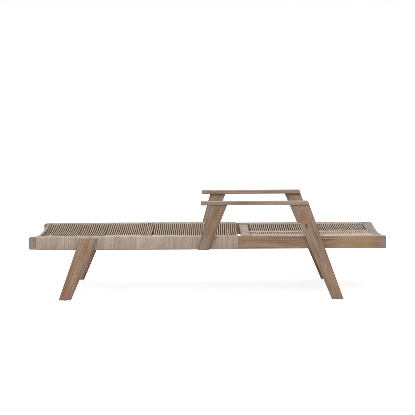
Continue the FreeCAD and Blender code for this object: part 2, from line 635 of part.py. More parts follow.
def arm_dowels(side, plank, clearance=0):
    """Upright dowels from a plank into the armrest."""
    radius = size("dowel_diameter") / 2 + clearance
    length = size("dowel_length") + 2 * clearance
    low = at("arm_bottom") + size("arm_dowel_depth") - size("dowel_length") - clearance
    y = side * (at(f"{plank}_inner") + size("plank_thickness") / 2)
    middle = plank_middle(plank, at("arm_bottom"))
    half = size("arm_dowel_spacing") / 2
    return [Part.makeCylinder(radius, length, V(x, y, low), Z_AXIS) for x in (middle - half, middle + half)]


def glide_nail(side, plank, clearance=0):
    """The nail of a foot glide, or the hole for it."""
    y = side * (at(f"{plank}_inner") + size("plank_thickness") / 2)
    low = V(plank_middle(plank, at(f"{plank}_low")), y, at(f"{plank}_low"))
    radius = size("glide_nail_diameter") / 2 + clearance
    return Part.makeCylinder(radius, size("glide_nail_length") + clearance, low)


def glide(side, plank):
    nail = glide_nail(side, plank)
    centre = V(nail.BoundBox.Center.x, nail.BoundBox.Center.y, 0)
    return nail.fuse(Part.makeCylinder(size("glide_diameter") / 2, size("glide_thickness"), centre))


def pivot_bolt(side, clearance=0):
    """The backrest's pivot bolt, head outside the side rail, or its hole in the rail."""
    head_end = at("rail_outer") + size("pivot_head_height")
    tip = at("back_rail_outer") - size("pivot_depth")
    x, z = at("pivot_x"), at("pivot_z")
    shank = y_cylinder(size("pivot_diameter") / 2 + clearance, side, tip, at("rail_outer"), x, z)
    if clearance:
        return shank
    return shank.fuse(y_cylinder(size("pivot_head_diameter") / 2, side, at("rail_outer"), head_end, x, z))


def ring(outer_radius, bore_radius, side, start, stop):
    """A ring about the backrest's pivot."""
    x, z = at("pivot_x"), at("pivot_z")
    solid = y_cylinder(outer_radius, side, start, stop, x, z)
    return solid.cut(y_cylinder(bore_radius, side, start, stop, x, z))


def bush_end():
    return at("back_rail_outer") - size("pivot_depth") - size("washer_clearance")


def pivot_bush(side):
    bore = size("pivot_diameter") / 2 + size("pivot_clearance")
    return ring(size("bush_diameter") / 2, bore, side, bush_end(), at("back_rail_outer"))


def bush_seat(side):
    radius = size("bush_diameter") / 2 + size("pivot_clearance")
    return y_cylinder(radius, side, bush_end(), at("back_rail_outer"), at("pivot_x"), at("pivot_z"))


def pivot_washer(side):
    bore = size("pivot_diameter") / 2 + size("hole_clearance")
    start = at("back_rail_outer") + size("washer_clearance")
    return ring(size("washer_diameter") / 2, bore, side, start, at("rail_inner"))


def rack_screws(side, clearance=0):
    """Screws through the rack between its notches, first and last."""
    z = (at("rail_bottom") + at("rack_tip")) / 2
    spans = (0, round(size("notch_count")) - 2)
    stations = [at("notch_x") + at("notch_pitch") * (span + 0.5) for span in spans]
    return [countersunk(V(x, side * at("rack_inner"), z), Y_AXIS * side, size("screw_length"), clearance)
            for x in stations]


def batten_screws(side, clearance=0):
    """Screws up through the batten's end into the backrest rail."""
    y = side * (at("back_rail_inner") + at("batten_half")) / 2
    middle = (at("batten_front") + at("batten_rear")) / 2
    half = size("batten_screw_spacing") / 2
    return [countersunk(V(x, y, at("batten_bottom")), Z_AXIS, size("screw_length"), clearance)
            for x in (middle - half, middle + half)]


def bracket_screws(side, clearance=0):
    """Screws through the hinge bracket's plate into the batten."""
    middle = side * at("prop_arm_offset")
    half = size("bracket_screw_spacing") / 2
    x = at("batten_rear") + size("bracket_thickness")
    return [countersunk(V(x, y, at("hinge_z")), -X_AXIS, size("bracket_screw_length"), clearance)
            for y in (middle - half, middle + half)]


def bracket_half_width():
    return size("prop_arm_width") / 2 + size("bracket_clearance") + size("bracket_thickness")


def hinge_bracket(side):
    """A bent steel bracket: a plate on the batten and an ear on each side of the prop arm."""
    ear, steel, half = size("bracket_ear"), size("bracket_thickness"), bracket_half_width()
    middle = side * at("prop_arm_offset")
    low = at("hinge_z") - ear
    bracket = Part.makeBox(steel, 2 * half, 2 * ear, V(at("batten_rear"), middle - half, low))
    for y in (middle - half, middle + half - steel):
        flank = Part.makeBox(size("hinge_setback"), steel, 2 * ear, V(at("batten_rear"), y, low))
        tip = Part.makeCylinder(ear, steel, V(at("hinge_x"), y, at("hinge_z")), Y_AXIS)
        bracket = bracket.fuse([flank, tip])
    pin_radius = size("hinge_pin_diameter") / 2 + size("hole_clearance")
    bore = Part.makeCylinder(pin_radius, 2 * half, V(at("hinge_x"), middle - half, at("hinge_z")), Y_AXIS)
    cutters = [bore] + bracket_screws(side, size("hole_clearance"))
    return bracket.cut(Part.makeCompound(cutters)).removeSplitter()


def hinge_pin(side):
    """A pin through both ears of a bracket, riveted over at its ends."""
    half, head = bracket_half_width(), size("pin_head_height")
    middle = side * at("prop_arm_offset")
    x, z = at("hinge_x"), at("hinge_z")
    shank = Part.makeCylinder(size("hinge_pin_diameter") / 2, 2 * half, V(x, middle - half, z), Y_AXIS)
    heads = [Part.makeCylinder(size("pin_head_diameter") / 2, head, V(x, y, z), Y_AXIS)
             for y in (middle - half - head, middle + half)]
    return shank.fuse(heads)


def both_sides(make, *extra):
    return [make(side, *extra) for side in SIDES.values()]


def all_of(groups):
    return [shape for group in groups for shape in group]


# Cord

SAG_STEPS = (-1, -0.5, 0, 0.5, 1)


def cord_net(start, end, half, top, sag=0):
    """Pairs of strands from rail to rail, joined by a narrow strip at each rail."""
    cord, pitch = size("cord_diameter"), size("cord_pitch")
    gap = pitch - 2 * cord
    count = int((end - start + gap) // pitch)
    length = count * pitch - gap
    first = (start + end - length) / 2
    steps = SAG_STEPS if sag else SAG_STEPS[::len(SAG_STEPS) - 1]
    upper = [V(first, half * step, top - sag * (1 - step * step)) for step in steps]
    lower = [point - V(0, 0, cord) for point in reversed(upper)]
    sheet = Part.Face(Part.makePolygon(upper + lower + upper[:1])).extrude(V(length, 0, 0))
    reach = half - size("net_border")
    depth = sag + 2 * cord
    corner = V(first + 2 * cord, -reach, top + cord / 2 - depth)
    slots = [Part.makeBox(gap, 2 * reach, depth, corner + X_AXIS * (k * pitch)) for k in range(count - 1)]
    return sheet.cut(Part.makeCompound(slots))


def make_cord_nets():
    wall = at("wrap_wall")
    seat = at("seat_strand_start"), at("seat_winding_end"), at("seat_strand_end")
    back = at("back_winding_start"), at("back_winding_end"), at("back_strand_end")
    top = size("rail_top") + wall
    keep_shape("seat_cord_top", [cord_net(*seat, top, size("seat_sag"))])
    keep_shape("seat_cord_bottom", [cord_net(*seat, at("rail_bottom") - size("cord_clearance"))])
    keep_shape("back_cord_top", [cord_net(*back, top, size("back_sag"))])
    keep_shape("back_cord_bottom", [cord_net(*back, at("back_rail_bottom") - size("cord_clearance"))])


def crossbar_window(side, bar):
    """Opening in the winding's inner wall where a seat crossbar reaches the rail."""
    gap = size("cord_clearance")
    low_y = side * at("rail_inner") if side < 0 else at("wrap_inner")
    low = V(at(f"{bar}_front") - gap, low_y, at("seat_crossbar_bottom") - gap)
    height = at("seat_crossbar_top") - at("seat_crossbar_bottom") + 2 * gap
    return Part.makeBox(size("seat_crossbar_width") + 2 * gap, at("wrap_wall"), height, low)


def make_windings(name, side):
    seat_length = "Places.seat_winding_end - Places.seat_winding_start"
    seat = sleeve_blank(f"rail_wrap_{name}", side, "Places.seat_winding_start", seat_length,
                        "Places.rail_inner", "Places.rail_outer", "Places.rail_bottom", "Sizes.rail_top")
    windows = [crossbar_window(side, bar) for bar in ("front_seat_crossbar", "rear_seat_crossbar")]
    drilled(f"rail_wrap_{name}", seat, windows + leg_bores(side, ("front_leg", "arm_post")))
    back_length = "Places.back_winding_end - Places.back_winding_start"
    back = sleeve_blank(f"back_wrap_{name}", side, "Places.back_winding_start", back_length,
                        "Places.back_rail_inner", "Places.back_rail_outer", "Places.back_rail_bottom",
                        "Sizes.rail_top")
    drilled(f"back_wrap_{name}", back, batten_screws(side, size("hole_clearance")))


# Timber of the base

def upright_edge(edge):
    """A long edge of a plank, seen from the side."""
    return flat_in(edge, "Y") and edge.BoundBox.ZLength > size("edge_radius")


def make_side_rail(name, side):
    corners = (("Places.foot_end", "Places.rail_bottom"), ("Places.head_end", "Places.rail_bottom"),
               ("Places.head_end", "Sizes.rail_top"), ("Places.foot_end", "Sizes.rail_top"))
    label = f"side_rail_{name}"
    body = side_blank(label, side, corners, "Sizes.rail_thickness", "Places.rail_inner",
                      lambda edge: flat_in(edge, "X") and flat_in(edge, "Z"), "Sizes.rail_end_radius")
    ease(body, body.Tip, "Sizes.edge_radius", lambda edge: flat_in(edge, "Y"))
    clearance = size("hole_clearance")
    pockets = [nut_pocket(side, x, z) for _, x, z in leg_bolt_places()]
    dowels = all_of(crossbar_dowels(side, bar, clearance) for bar in CROSSBARS)
    bores = leg_bores(side) + dowels + rack_screws(side, clearance) + [pivot_bolt(side, clearance)]
    drilled(label, body, pockets + bores)


def make_plank(plank, name, side):
    order = (("foot_front", "low"), ("foot_rear", "low"), ("head_rear", "high"), ("head_front", "high"))
    corners = [(f"Places.{plank}_{edge}", f"Places.{plank}_{level}") for edge, level in order]
    label = f"{plank}_{name}"
    body = side_blank(label, side, corners, "Sizes.plank_thickness", f"Places.{plank}_inner", upright_edge)
    clearance = size("hole_clearance")
    cutters = leg_bores(side, (plank,))
    if plank != "front_leg":
        cutters += arm_dowels(side, plank, clearance)
    if plank != "arm_post":
        cutters.append(glide_nail(side, plank, clearance))
    drilled(label, body, cutters)


def make_armrest(name, side):
    corners = (("Places.arm_front", "Places.arm_bottom"), ("Places.rear_leg_head_rear", "Places.arm_bottom"),
               ("Places.arm_rear_high", "Sizes.arm_top"), ("Places.arm_front", "Sizes.arm_top"))
    label = f"armrest_{name}"
    body = side_blank(label, side, corners, "Sizes.arm_width", "Places.arm_inner",
                      lambda edge: flat_in(edge, "Z"))
    clearance = size("hole_clearance")
    drilled(label, body, arm_dowels(side, "arm_post", clearance) + arm_dowels(side, "rear_leg", clearance))


def make_base_crossbars():
    clearance = size("hole_clearance")
    blanks = {"foot_crossbar": scooped_blank(
        "foot_crossbar", "Places.foot_crossbar_bottom", "Sizes.rail_top", "Places.rail_inner_left",
        "Places.rail_inner", "Places.foot_scoop_radius", "Places.foot_crossbar_front",
        "Sizes.foot_crossbar_width")}
    for bar in CROSSBARS[1:]:
        level = "seat_crossbar" if bar.endswith("seat_crossbar") else bar
        blanks[bar] = bar_blank(bar, f"Places.{bar}_front", f"Places.{bar}_rear", f"Places.{level}_bottom",
                                f"Places.{level}_top", "Places.rail_inner")
    for bar, blank in blanks.items():
        label = bar if bar.endswith("crossbar") else f"{bar}_crossbar"
        drilled(label, blank, all_of(crossbar_dowels(side, bar, clearance) for side in SIDES.values()))


# Backrest

def make_back_rail(name, side):
    label = f"back_rail_{name}"
    body = new_body(label)
    sketch = new_sketch(body, "XZ_Plane", "outline")
    lines = draw_outline(sketch, (
        ("Places.pivot_x", "Places.back_rail_bottom"), ("Places.back_rail_end", "Places.back_rail_bottom"),
        ("Places.back_rail_end", "Sizes.rail_top"), ("Places.pivot_x", "Sizes.rail_top")), closed=False)
    round_end(sketch, lines[-1], lines[0], "Places.pivot_x")
    rail = pad(body, sketch, "Sizes.back_rail_width", reverse=side > 0)
    bind(body, Placement__Base__y=f"{side} * Places.back_rail_inner")
    ease(body, rail, "Sizes.edge_radius", lambda edge: flat_in(edge, "Y") and flat_in(edge, "Z"))
    clearance = size("hole_clearance")
    dowels = lower_crossbar_dowels(side, clearance) + head_crossbar_dowels(side, clearance)
    drilled(label, body, dowels + batten_screws(side, clearance) + [bush_seat(side)])


def make_back_crossbars():
    clearance = size("hole_clearance")
    lower = bar_blank("back_lower_crossbar", "Places.lower_crossbar_front", "Places.lower_crossbar_rear",
                      "Places.lower_crossbar_bottom", "Places.lower_crossbar_top", "Places.back_rail_inner")
    spine_bores = spine_dowels(clearance)
    drilled("back_lower_crossbar", lower, all_of(both_sides(lower_crossbar_dowels, clearance)) + spine_bores)
    head = scooped_blank("back_head_crossbar", "Places.head_crossbar_bottom", "Sizes.rail_top",
                         "Places.back_rail_outer_left", "Places.back_rail_outer", "Places.head_scoop_radius",
                         "Places.back_rail_end", "Sizes.head_crossbar_width")
    drilled("back_head_crossbar", head, all_of(both_sides(head_crossbar_dowels, clearance)) + spine_bores)
    spine = bar_blank("back_spine", "Places.lower_crossbar_rear", "Places.back_rail_end",
                      "Places.spine_bottom", "Places.spine_top", "Sizes.spine_width / 2", eased=False)
    drilled("back_spine", spine, spine_bores)
    batten = bar_blank("prop_batten", "Places.batten_front", "Places.batten_rear", "Places.batten_bottom",
                       "Places.back_wrap_bottom", "Places.batten_half", eased=False)
    screws = both_sides(batten_screws, clearance) + both_sides(bracket_screws, clearance)
    drilled("prop_batten", batten, all_of(screws))


# Prop and racks

def make_prop_arm(name, side):
    label = f"prop_arm_{name}"
    body = new_body(label)
    sketch = new_sketch(body, "XZ_Plane", "outline")
    low, high = "Places.prop_arm_bottom", "Places.prop_arm_top"
    (under,) = draw_outline(sketch, (("Places.hinge_x", low), ("Places.rod_x", low)), closed=False)
    (over,) = draw_outline(sketch, (("Places.rod_x", high), ("Places.hinge_x", high)), closed=False)
    round_end(sketch, under, over, "Places.rod_x")
    round_end(sketch, over, under, "Places.hinge_x")
    draw_circle(sketch, "Places.hinge_x", "Places.hinge_z", "Places.hinge_bore")
    draw_circle(sketch, "Places.rod_x", "Places.hinge_z", "Places.rod_bore")
    pad(body, sketch, "Sizes.prop_arm_width")
    bind(body, Placement__Base__y=f"{side} * Places.prop_arm_offset + Sizes.prop_arm_width / 2")
    keep(label, body)


def make_prop_rod():
    rod = doc.addObject("Part::Cylinder", "prop_rod")
    half = "(Places.rail_inner - Sizes.prop_rod_gap)"
    rod.Placement = FreeCAD.Placement(V(), FreeCAD.Rotation(X_AXIS, -90))
    bind(rod, Radius="Sizes.prop_rod_diameter / 2", Height=f"2 * {half}", Placement__Base__x="Places.rod_x",
         Placement__Base__y=f"-{half}", Placement__Base__z="Places.hinge_z")
    keep("prop_rod", rod)


def make_prop_rack(name, side):
    """A board with saw-tooth notches, whose upright walls hold the rod against the prop's push."""
    label = f"prop_rack_{name}"
    corners = (("Places.rack_front", "Places.rail_bottom"), ("Places.rack_rear", "Places.rail_bottom"),
               ("Places.rack_rear", "Places.rack_tip"), ("Places.rack_front", "Places.rack_tip"))
    body = side_blank(label, side, corners, "Sizes.rack_thickness", "Places.rack_inner")
    whole = body.Tip.Shape.Volume
    sketch = new_sketch(body, "XZ_Plane", "notch")
    draw_outline(sketch, (
        ("Places.notch_wall", "Places.notch_over"), ("Places.notch_mouth", "Places.notch_over"),
        ("Places.notch_mouth", "Places.rack_tip"), ("Places.notch_floor_front", "Places.notch_floor"),
        ("Places.notch_wall", "Places.notch_floor")))
    notch = body.newObject("PartDesign::Pocket", f"{label}_notch")
    notch.Profile = sketch
    notch.Type = "ThroughAll"
    notch.Reversed = side < 0
    doc.recompute()
    notches = body.newObject("PartDesign::LinearPattern", f"{label}_notches")
    notches.Originals = [notch]
    notches.Direction = (sketch, ["H_Axis"])
    bind(notches, Length="Places.rack_run", Occurrences="Sizes.notch_count")
    body.Tip = notches
    doc.recompute()
    if not body.Shape.Volume < notch.Shape.Volume < whole:
        raise RuntimeError(f"{label}: the notches were not cut")
    drilled(label, body, rack_screws(side, size("hole_clearance")))


def make_fasteners():
    bolts = [(side, *place) for side in SIDES.values() for place in leg_bolt_places()]
    keep_shape("leg_bolts", [leg_bolt(*bolt) for bolt in bolts])
    keep_shape("leg_nuts", [leg_nut(side, x, z) for side, _, x, z in bolts])
    keep_shape("crossbar_dowels", all_of(all_of(both_sides(crossbar_dowels, bar)) for bar in CROSSBARS))
    keep_shape("armrest_dowels", all_of(all_of(both_sides(arm_dowels, plank)) for plank in PLANKS[1:]))
    keep_shape("foot_glides", both_sides(glide, "front_leg") + both_sides(glide, "rear_leg"))
    keep_shape("rack_screws", all_of(both_sides(rack_screws)))
    keep_shape("pivot_bolts", both_sides(pivot_bolt))
    keep_shape("pivot_washers", both_sides(pivot_washer))
    keep_shape("pivot_bushes", both_sides(pivot_bush))
    back_dowels = both_sides(lower_crossbar_dowels) + both_sides(head_crossbar_dowels)
    keep_shape("back_dowels", all_of(back_dowels) + spine_dowels())
    keep_shape("batten_screws", all_of(both_sides(batten_screws)))
    keep_shape("hinge_brackets", both_sides(hinge_bracket))
    keep_shape("hinge_pins", both_sides(hinge_pin))
    keep_shape("bracket_screws", all_of(both_sides(bracket_screws)))


def check_and_write():
    """Stop if anything failed, then write every sub-part."""
    doc.recompute()
    failed = [item.Label for item in doc.Objects if {"Invalid", "Error"} & set(item.State)]
    failed += [label for label, item in nodes.items()
               if item.Shape.isNull() or not item.Shape.isValid() or not item.Shape.Solids]
    if failed:
        raise RuntimeError(f"not built: {failed}")
    os.makedirs("parts", exist_ok=True)
    for label, item in nodes.items():
        item.Shape.exportStep(f"parts/{label}.step")
        print(label, len(item.Shape.Solids), "solids")


for side_name, side_sign in SIDES.items():
    make_side_rail(side_name, side_sign)
    for plank_name in PLANKS:
        make_plank(plank_name, side_name, side_sign)
    make_armrest(side_name, side_sign)
    make_windings(side_name, side_sign)
    make_back_rail(side_name, side_sign)
    make_prop_arm(side_name, side_sign)
    make_prop_rack(side_name, side_sign)
make_base_crossbars()
make_back_crossbars()
make_prop_rod()
make_cord_nets()
make_fasteners()
check_and_write()
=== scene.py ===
import math
import random

import bmesh
import bpy
from bpy.props import FloatProperty, FloatVectorProperty, IntProperty, PointerProperty
from mathutils import Matrix, Vector


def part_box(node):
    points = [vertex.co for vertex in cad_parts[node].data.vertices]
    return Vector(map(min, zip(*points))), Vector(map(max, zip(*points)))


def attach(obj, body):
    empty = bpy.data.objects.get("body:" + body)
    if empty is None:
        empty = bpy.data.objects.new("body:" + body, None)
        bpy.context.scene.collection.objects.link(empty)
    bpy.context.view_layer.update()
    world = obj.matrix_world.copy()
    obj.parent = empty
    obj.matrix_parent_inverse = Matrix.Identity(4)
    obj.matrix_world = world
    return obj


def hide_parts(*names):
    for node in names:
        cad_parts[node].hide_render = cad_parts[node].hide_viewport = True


bl_info = {
    "name": "Cord sun lounger",
    "version": (1, 0, 0),
    "blender": (4, 5, 0),
    "location": "View3D > Sidebar > Lounger",
    "description": "Winds the cord, finishes the timber and fittings and sets the stage of a sun lounger",
    "category": "Object",
}

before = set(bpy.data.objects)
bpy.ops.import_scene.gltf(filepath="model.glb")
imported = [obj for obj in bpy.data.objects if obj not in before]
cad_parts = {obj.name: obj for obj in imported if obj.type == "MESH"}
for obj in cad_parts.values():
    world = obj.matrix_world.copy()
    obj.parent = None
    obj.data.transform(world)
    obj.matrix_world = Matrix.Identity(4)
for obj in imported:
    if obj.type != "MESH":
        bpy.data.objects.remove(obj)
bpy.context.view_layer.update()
MM = 0.001
QUARTER = math.radians(90.0)
# Points of a mesh that lie nearer than this are one point.
WELD = 0.01 * MM
# The photograph's frame, and the camera's sensor in millimetres.
PHOTO_PIXELS = 415.0
SENSOR_WIDTH = 36.0


# ---------------------------------------------------------------- small helpers

def linear(hex_colour):
    """Turn an sRGB hex value into the linear red, green and blue that shaders take."""
    channels = [int(hex_colour[i:i + 2], 16) / 255.0 for i in (1, 3, 5)]
    return tuple(c / 12.92 if c <= 0.04045 else ((c + 0.055) / 1.055) ** 2.4 for c in channels)


def put(tree, kind, inputs=None, stops=None, **settings):
    """Add a node, with its settings, its colour stops, and a value or a link for each named input."""
    node = tree.nodes.new(kind)
    for name, value in settings.items():
        setattr(node, name, value)
    for place, colour in (stops or ()):
        ends = node.color_ramp.elements
        stop = ends[0] if place <= 0.0 else ends[-1] if place >= 1.0 else ends.new(place)
        stop.color = (*colour, 1.0)
        stop.position = place
    for key, value in (inputs or {}).items():
        if isinstance(value, bpy.types.NodeSocket):
            tree.links.new(value, node.inputs[key])
        else:
            node.inputs[key].default_value = value
    return node


def new_finish(name):
    """A new material with an empty node tree but for its shader and output."""
    finish = bpy.data.materials.new(name)
    finish.use_nodes = True
    tree = finish.node_tree
    return finish, tree, tree.nodes["Principled BSDF"]


def wave_scale(spacing):
    """The Wave node's scale at which its bands stand this far apart, in metres."""
    return 2.0 * math.pi / (20.0 * spacing)


def give(node, finish):
    """Put a finish on a CAD node's own object."""
    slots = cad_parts[node].data.materials
    slots.clear()
    slots.append(finish)


def make_piece(bm, name, finish, body, nodes):
    """Close a bmesh into a piece that rides on a body and stands for CAD nodes."""
    bmesh.ops.remove_doubles(bm, verts=bm.verts, dist=WELD)
    bmesh.ops.recalc_face_normals(bm, faces=bm.faces)
    for face in bm.faces:
        face.smooth = True
    mesh = bpy.data.meshes.new(name)
    bm.to_mesh(mesh)
    bm.free()
    mesh.materials.append(finish)
    piece = bpy.data.objects.new(name, mesh)
    bpy.context.scene.collection.objects.link(piece)
    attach(piece, body)
    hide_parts(*nodes)


# ---------------------------------------------------------------- sizes and colours

class LoungerCord(bpy.types.PropertyGroup):
    """The cord and how it is wound"""
    thickness: FloatProperty(
        name="Cord thickness", description="Diameter of the wound cord",
        default=2.9 * MM, unit="LENGTH")
    clearance: FloatProperty(
        name="Slack", description="Between the cord and the rail that it is wound on",
        default=1.1 * MM, unit="LENGTH")
    edge_round: FloatProperty(
        name="Rail rounding", description="Radius of the rail edges that the cord bends round",
        default=3.0 * MM, unit="LENGTH")
    seat_sag: FloatProperty(
        name="Seat sag", description="How far the seat's strands hang in the middle",
        default=31.0 * MM, unit="LENGTH")
    back_sag: FloatProperty(
        name="Backrest sag", description="How far the backrest's strands hang in the middle",
        default=15.0 * MM, unit="LENGTH")
    wander: FloatProperty(
        name="Wander", description="How far a strand strays from its place, as hand winding leaves it",
        default=0.35 * MM, unit="LENGTH")
    fan: FloatProperty(
        name="Fan", description="Slant of the strands next to a place where the pairs spread apart",
        default=0.011)
    fan_reach: FloatProperty(
        name="Fan reach", description="How far along the rail the strands slant",
        default=75.0 * MM, unit="LENGTH")
    sides: IntProperty(
        name="Cord sides", description="Flat sides round one cord", default=5, min=4)
    seed: IntProperty(name="Seed", description="Start of the strands' random places", default=7)
    colour: FloatVectorProperty(
        name="Cord", description="Colour of the cord", subtype="COLOR", default=linear("#CCB9A9"))
    # Painted shade: how dark the cord is painted inside the rails and below the hanging strands.
    painted_shade: FloatProperty(
        name="Sheltered cord", description="How dark the cord stays where the sun hasn't bleached it",
        default=0.56, subtype="FACTOR")
    # Painted shade: the same for the backrest's lower strands, which are painted less dark.
    back_painted_shade: FloatProperty(
        name="Backrest's lower cord",
        description="The same for the backrest's lower strands, which more sun reaches",
        default=0.95, subtype="FACTOR")
    # Painted light: how much lighter the backrest's cord is painted, and its left half more so.
    back_painted_light: FloatProperty(
        name="Bleached backrest", description="How much paler the sun has made the backrest's cord",
        default=1.04, min=1.0)
    left_painted_light: FloatProperty(
        name="Bleached left half", description="The same on the backrest's left half",
        default=1.14, min=1.0)
    shade: FloatVectorProperty(
        name="Cord lay", description="Colour between the cord's twisted plies",
        subtype="COLOR", default=linear("#96826F"))


class LoungerTimber(bpy.types.PropertyGroup):
    """The timber's colours and the size of its grain"""
    pale: FloatVectorProperty(
        name="Pale grain", description="Light streaks of the timber",
        subtype="COLOR", default=linear("#B59474"))
    warm: FloatVectorProperty(
        name="Warm grain", description="Body colour of the timber",
        subtype="COLOR", default=linear("#967350"))
    dark: FloatVectorProperty(
        name="Dark grain", description="Late wood between the light streaks",
        subtype="COLOR", default=linear("#6B4E37"))
    wash: FloatVectorProperty(
        name="Grey wash", description="Weathered grey that lies over the timber",
        subtype="COLOR", default=linear("#A1928A"))
    pale_wash: FloatVectorProperty(
        name="Pale wash", description="Heavier, paler wash on the crossbars",
        subtype="COLOR", default=linear("#AFA49E"))
    # Pale timber, painted paler still on the backrest's middle bar as painted light, and a painted sheen
    # on a side rail's top.
    pale_and_painted_light: FloatVectorProperty(
        name="Bare timber",
        description="Pale sapwood of the backrest's middle bar and of a sun-bleached rail top",
        subtype="COLOR", default=linear("#D9CABB"))
    edge: FloatVectorProperty(
        name="Worn edge", description="Grey of the rounded edges, where the weather reaches first",
        subtype="COLOR", default=linear("#84746A"))
    russet: FloatVectorProperty(
        name="Russet", description="Red heartwood that shows in patches",
        subtype="COLOR", default=linear("#94654D"))
    knot: FloatVectorProperty(
        name="Knot", description="Heart of a dark knot", subtype="COLOR", default=linear("#4A332B"))
    live_knot: FloatVectorProperty(
        name="Live knot", description="Heart of a pale knot", subtype="COLOR", default=linear("#C6A287"))
    edge_width: FloatProperty(
        name="Edge wear", description="How far the grey reaches in from an edge",
        default=9.0 * MM, unit="LENGTH")
    streak: FloatProperty(
        name="Streak width", description="Width of one streak of colour across the grain",
        default=13.0 * MM, unit="LENGTH")
    streak_length: FloatProperty(
        name="Streak length", description="Length of one streak of colour along the grain",
        default=260.0 * MM, unit="LENGTH")
    ring: FloatProperty(
        name="Ring spacing", description="From one growth ring to the next",
        default=9.0 * MM, unit="LENGTH")
    pore: FloatProperty(
        name="Pore width", description="Width of one pore across the grain",
        default=1.6 * MM, unit="LENGTH")


class LoungerFittings(bpy.types.PropertyGroup):
    """The colours of the steel and nylon fittings"""
    steel: FloatVectorProperty(
        name="Steel", description="Colour of the bolts, screws and brackets",
        subtype="COLOR", default=linear("#A39C94"))
    film: FloatVectorProperty(
        name="Tan film", description="Film that the steel takes outdoors",
        subtype="COLOR", default=linear("#80674F"))
    nylon: FloatVectorProperty(
        name="Nylon", description="Colour of the glides and bushes",
        subtype="COLOR", default=linear("#4A4541"))


class LoungerStage(bpy.types.PropertyGroup):
    """The camera, the light and the floor"""
    camera_place: FloatVectorProperty(
        name="Camera", description="Place of the camera", subtype="TRANSLATION",
        default=(0.03200, -6.71041, 1.23898))
    camera_yaw: FloatProperty(
        name="Yaw", description="Turn of the camera to the right", subtype="ANGLE", default=-0.00481)
    camera_pitch: FloatProperty(
        name="Pitch", description="Dip of the camera", subtype="ANGLE", default=0.1121)
    camera_roll: FloatProperty(
        name="Roll", description="Roll of the camera", subtype="ANGLE", default=-0.00497)
    camera_focus: FloatProperty(
        name="Focal length in pixels", description="Focal length in pixels of the photograph's frame",
        default=1153.808)
    sharpness: FloatProperty(
        name="Pixel filter", description="Width of the pixel filter, in pixels", default=0.6)
    world_level: FloatProperty(
        name="Fill light", description="Strength of the even light from all round", default=0.41)
    key_power: FloatProperty(
        name="Key light", description="Power of the wide lamp in front", subtype="POWER", default=122.0)
    top_power: FloatProperty(
        name="Top light", description="Power of the wide lamp overhead", subtype="POWER", default=53.0)
    floor: FloatVectorProperty(
        name="Floor", description="Colour of the floor", subtype="COLOR", default=linear("#BFBDBA"))
    floor_glow: FloatProperty(
        name="Floor white", description="How white the camera sees the floor in full shadow",
        default=0.75)


# ---------------------------------------------------------------- finishes

# The plies are drawn twice as wide as they are, so that their slant shows.
PLY_WIDTH = 3.4 * MM
PLY_SLANT = math.radians(38.0)
# How far along x, and across it, the cord's shade changes, and how long a paler stretch of it is.
STRAND_SHADE = (3.0 * MM, 1.0 / 6.0, 1.0 / 6.0)
STRETCH_SHADE = 45.0 * MM
# How far below the hanging strands the cord's painted shade starts, and is full.
PAINTED_SHADE_BELOW = (2.5 * MM, 9.0 * MM)


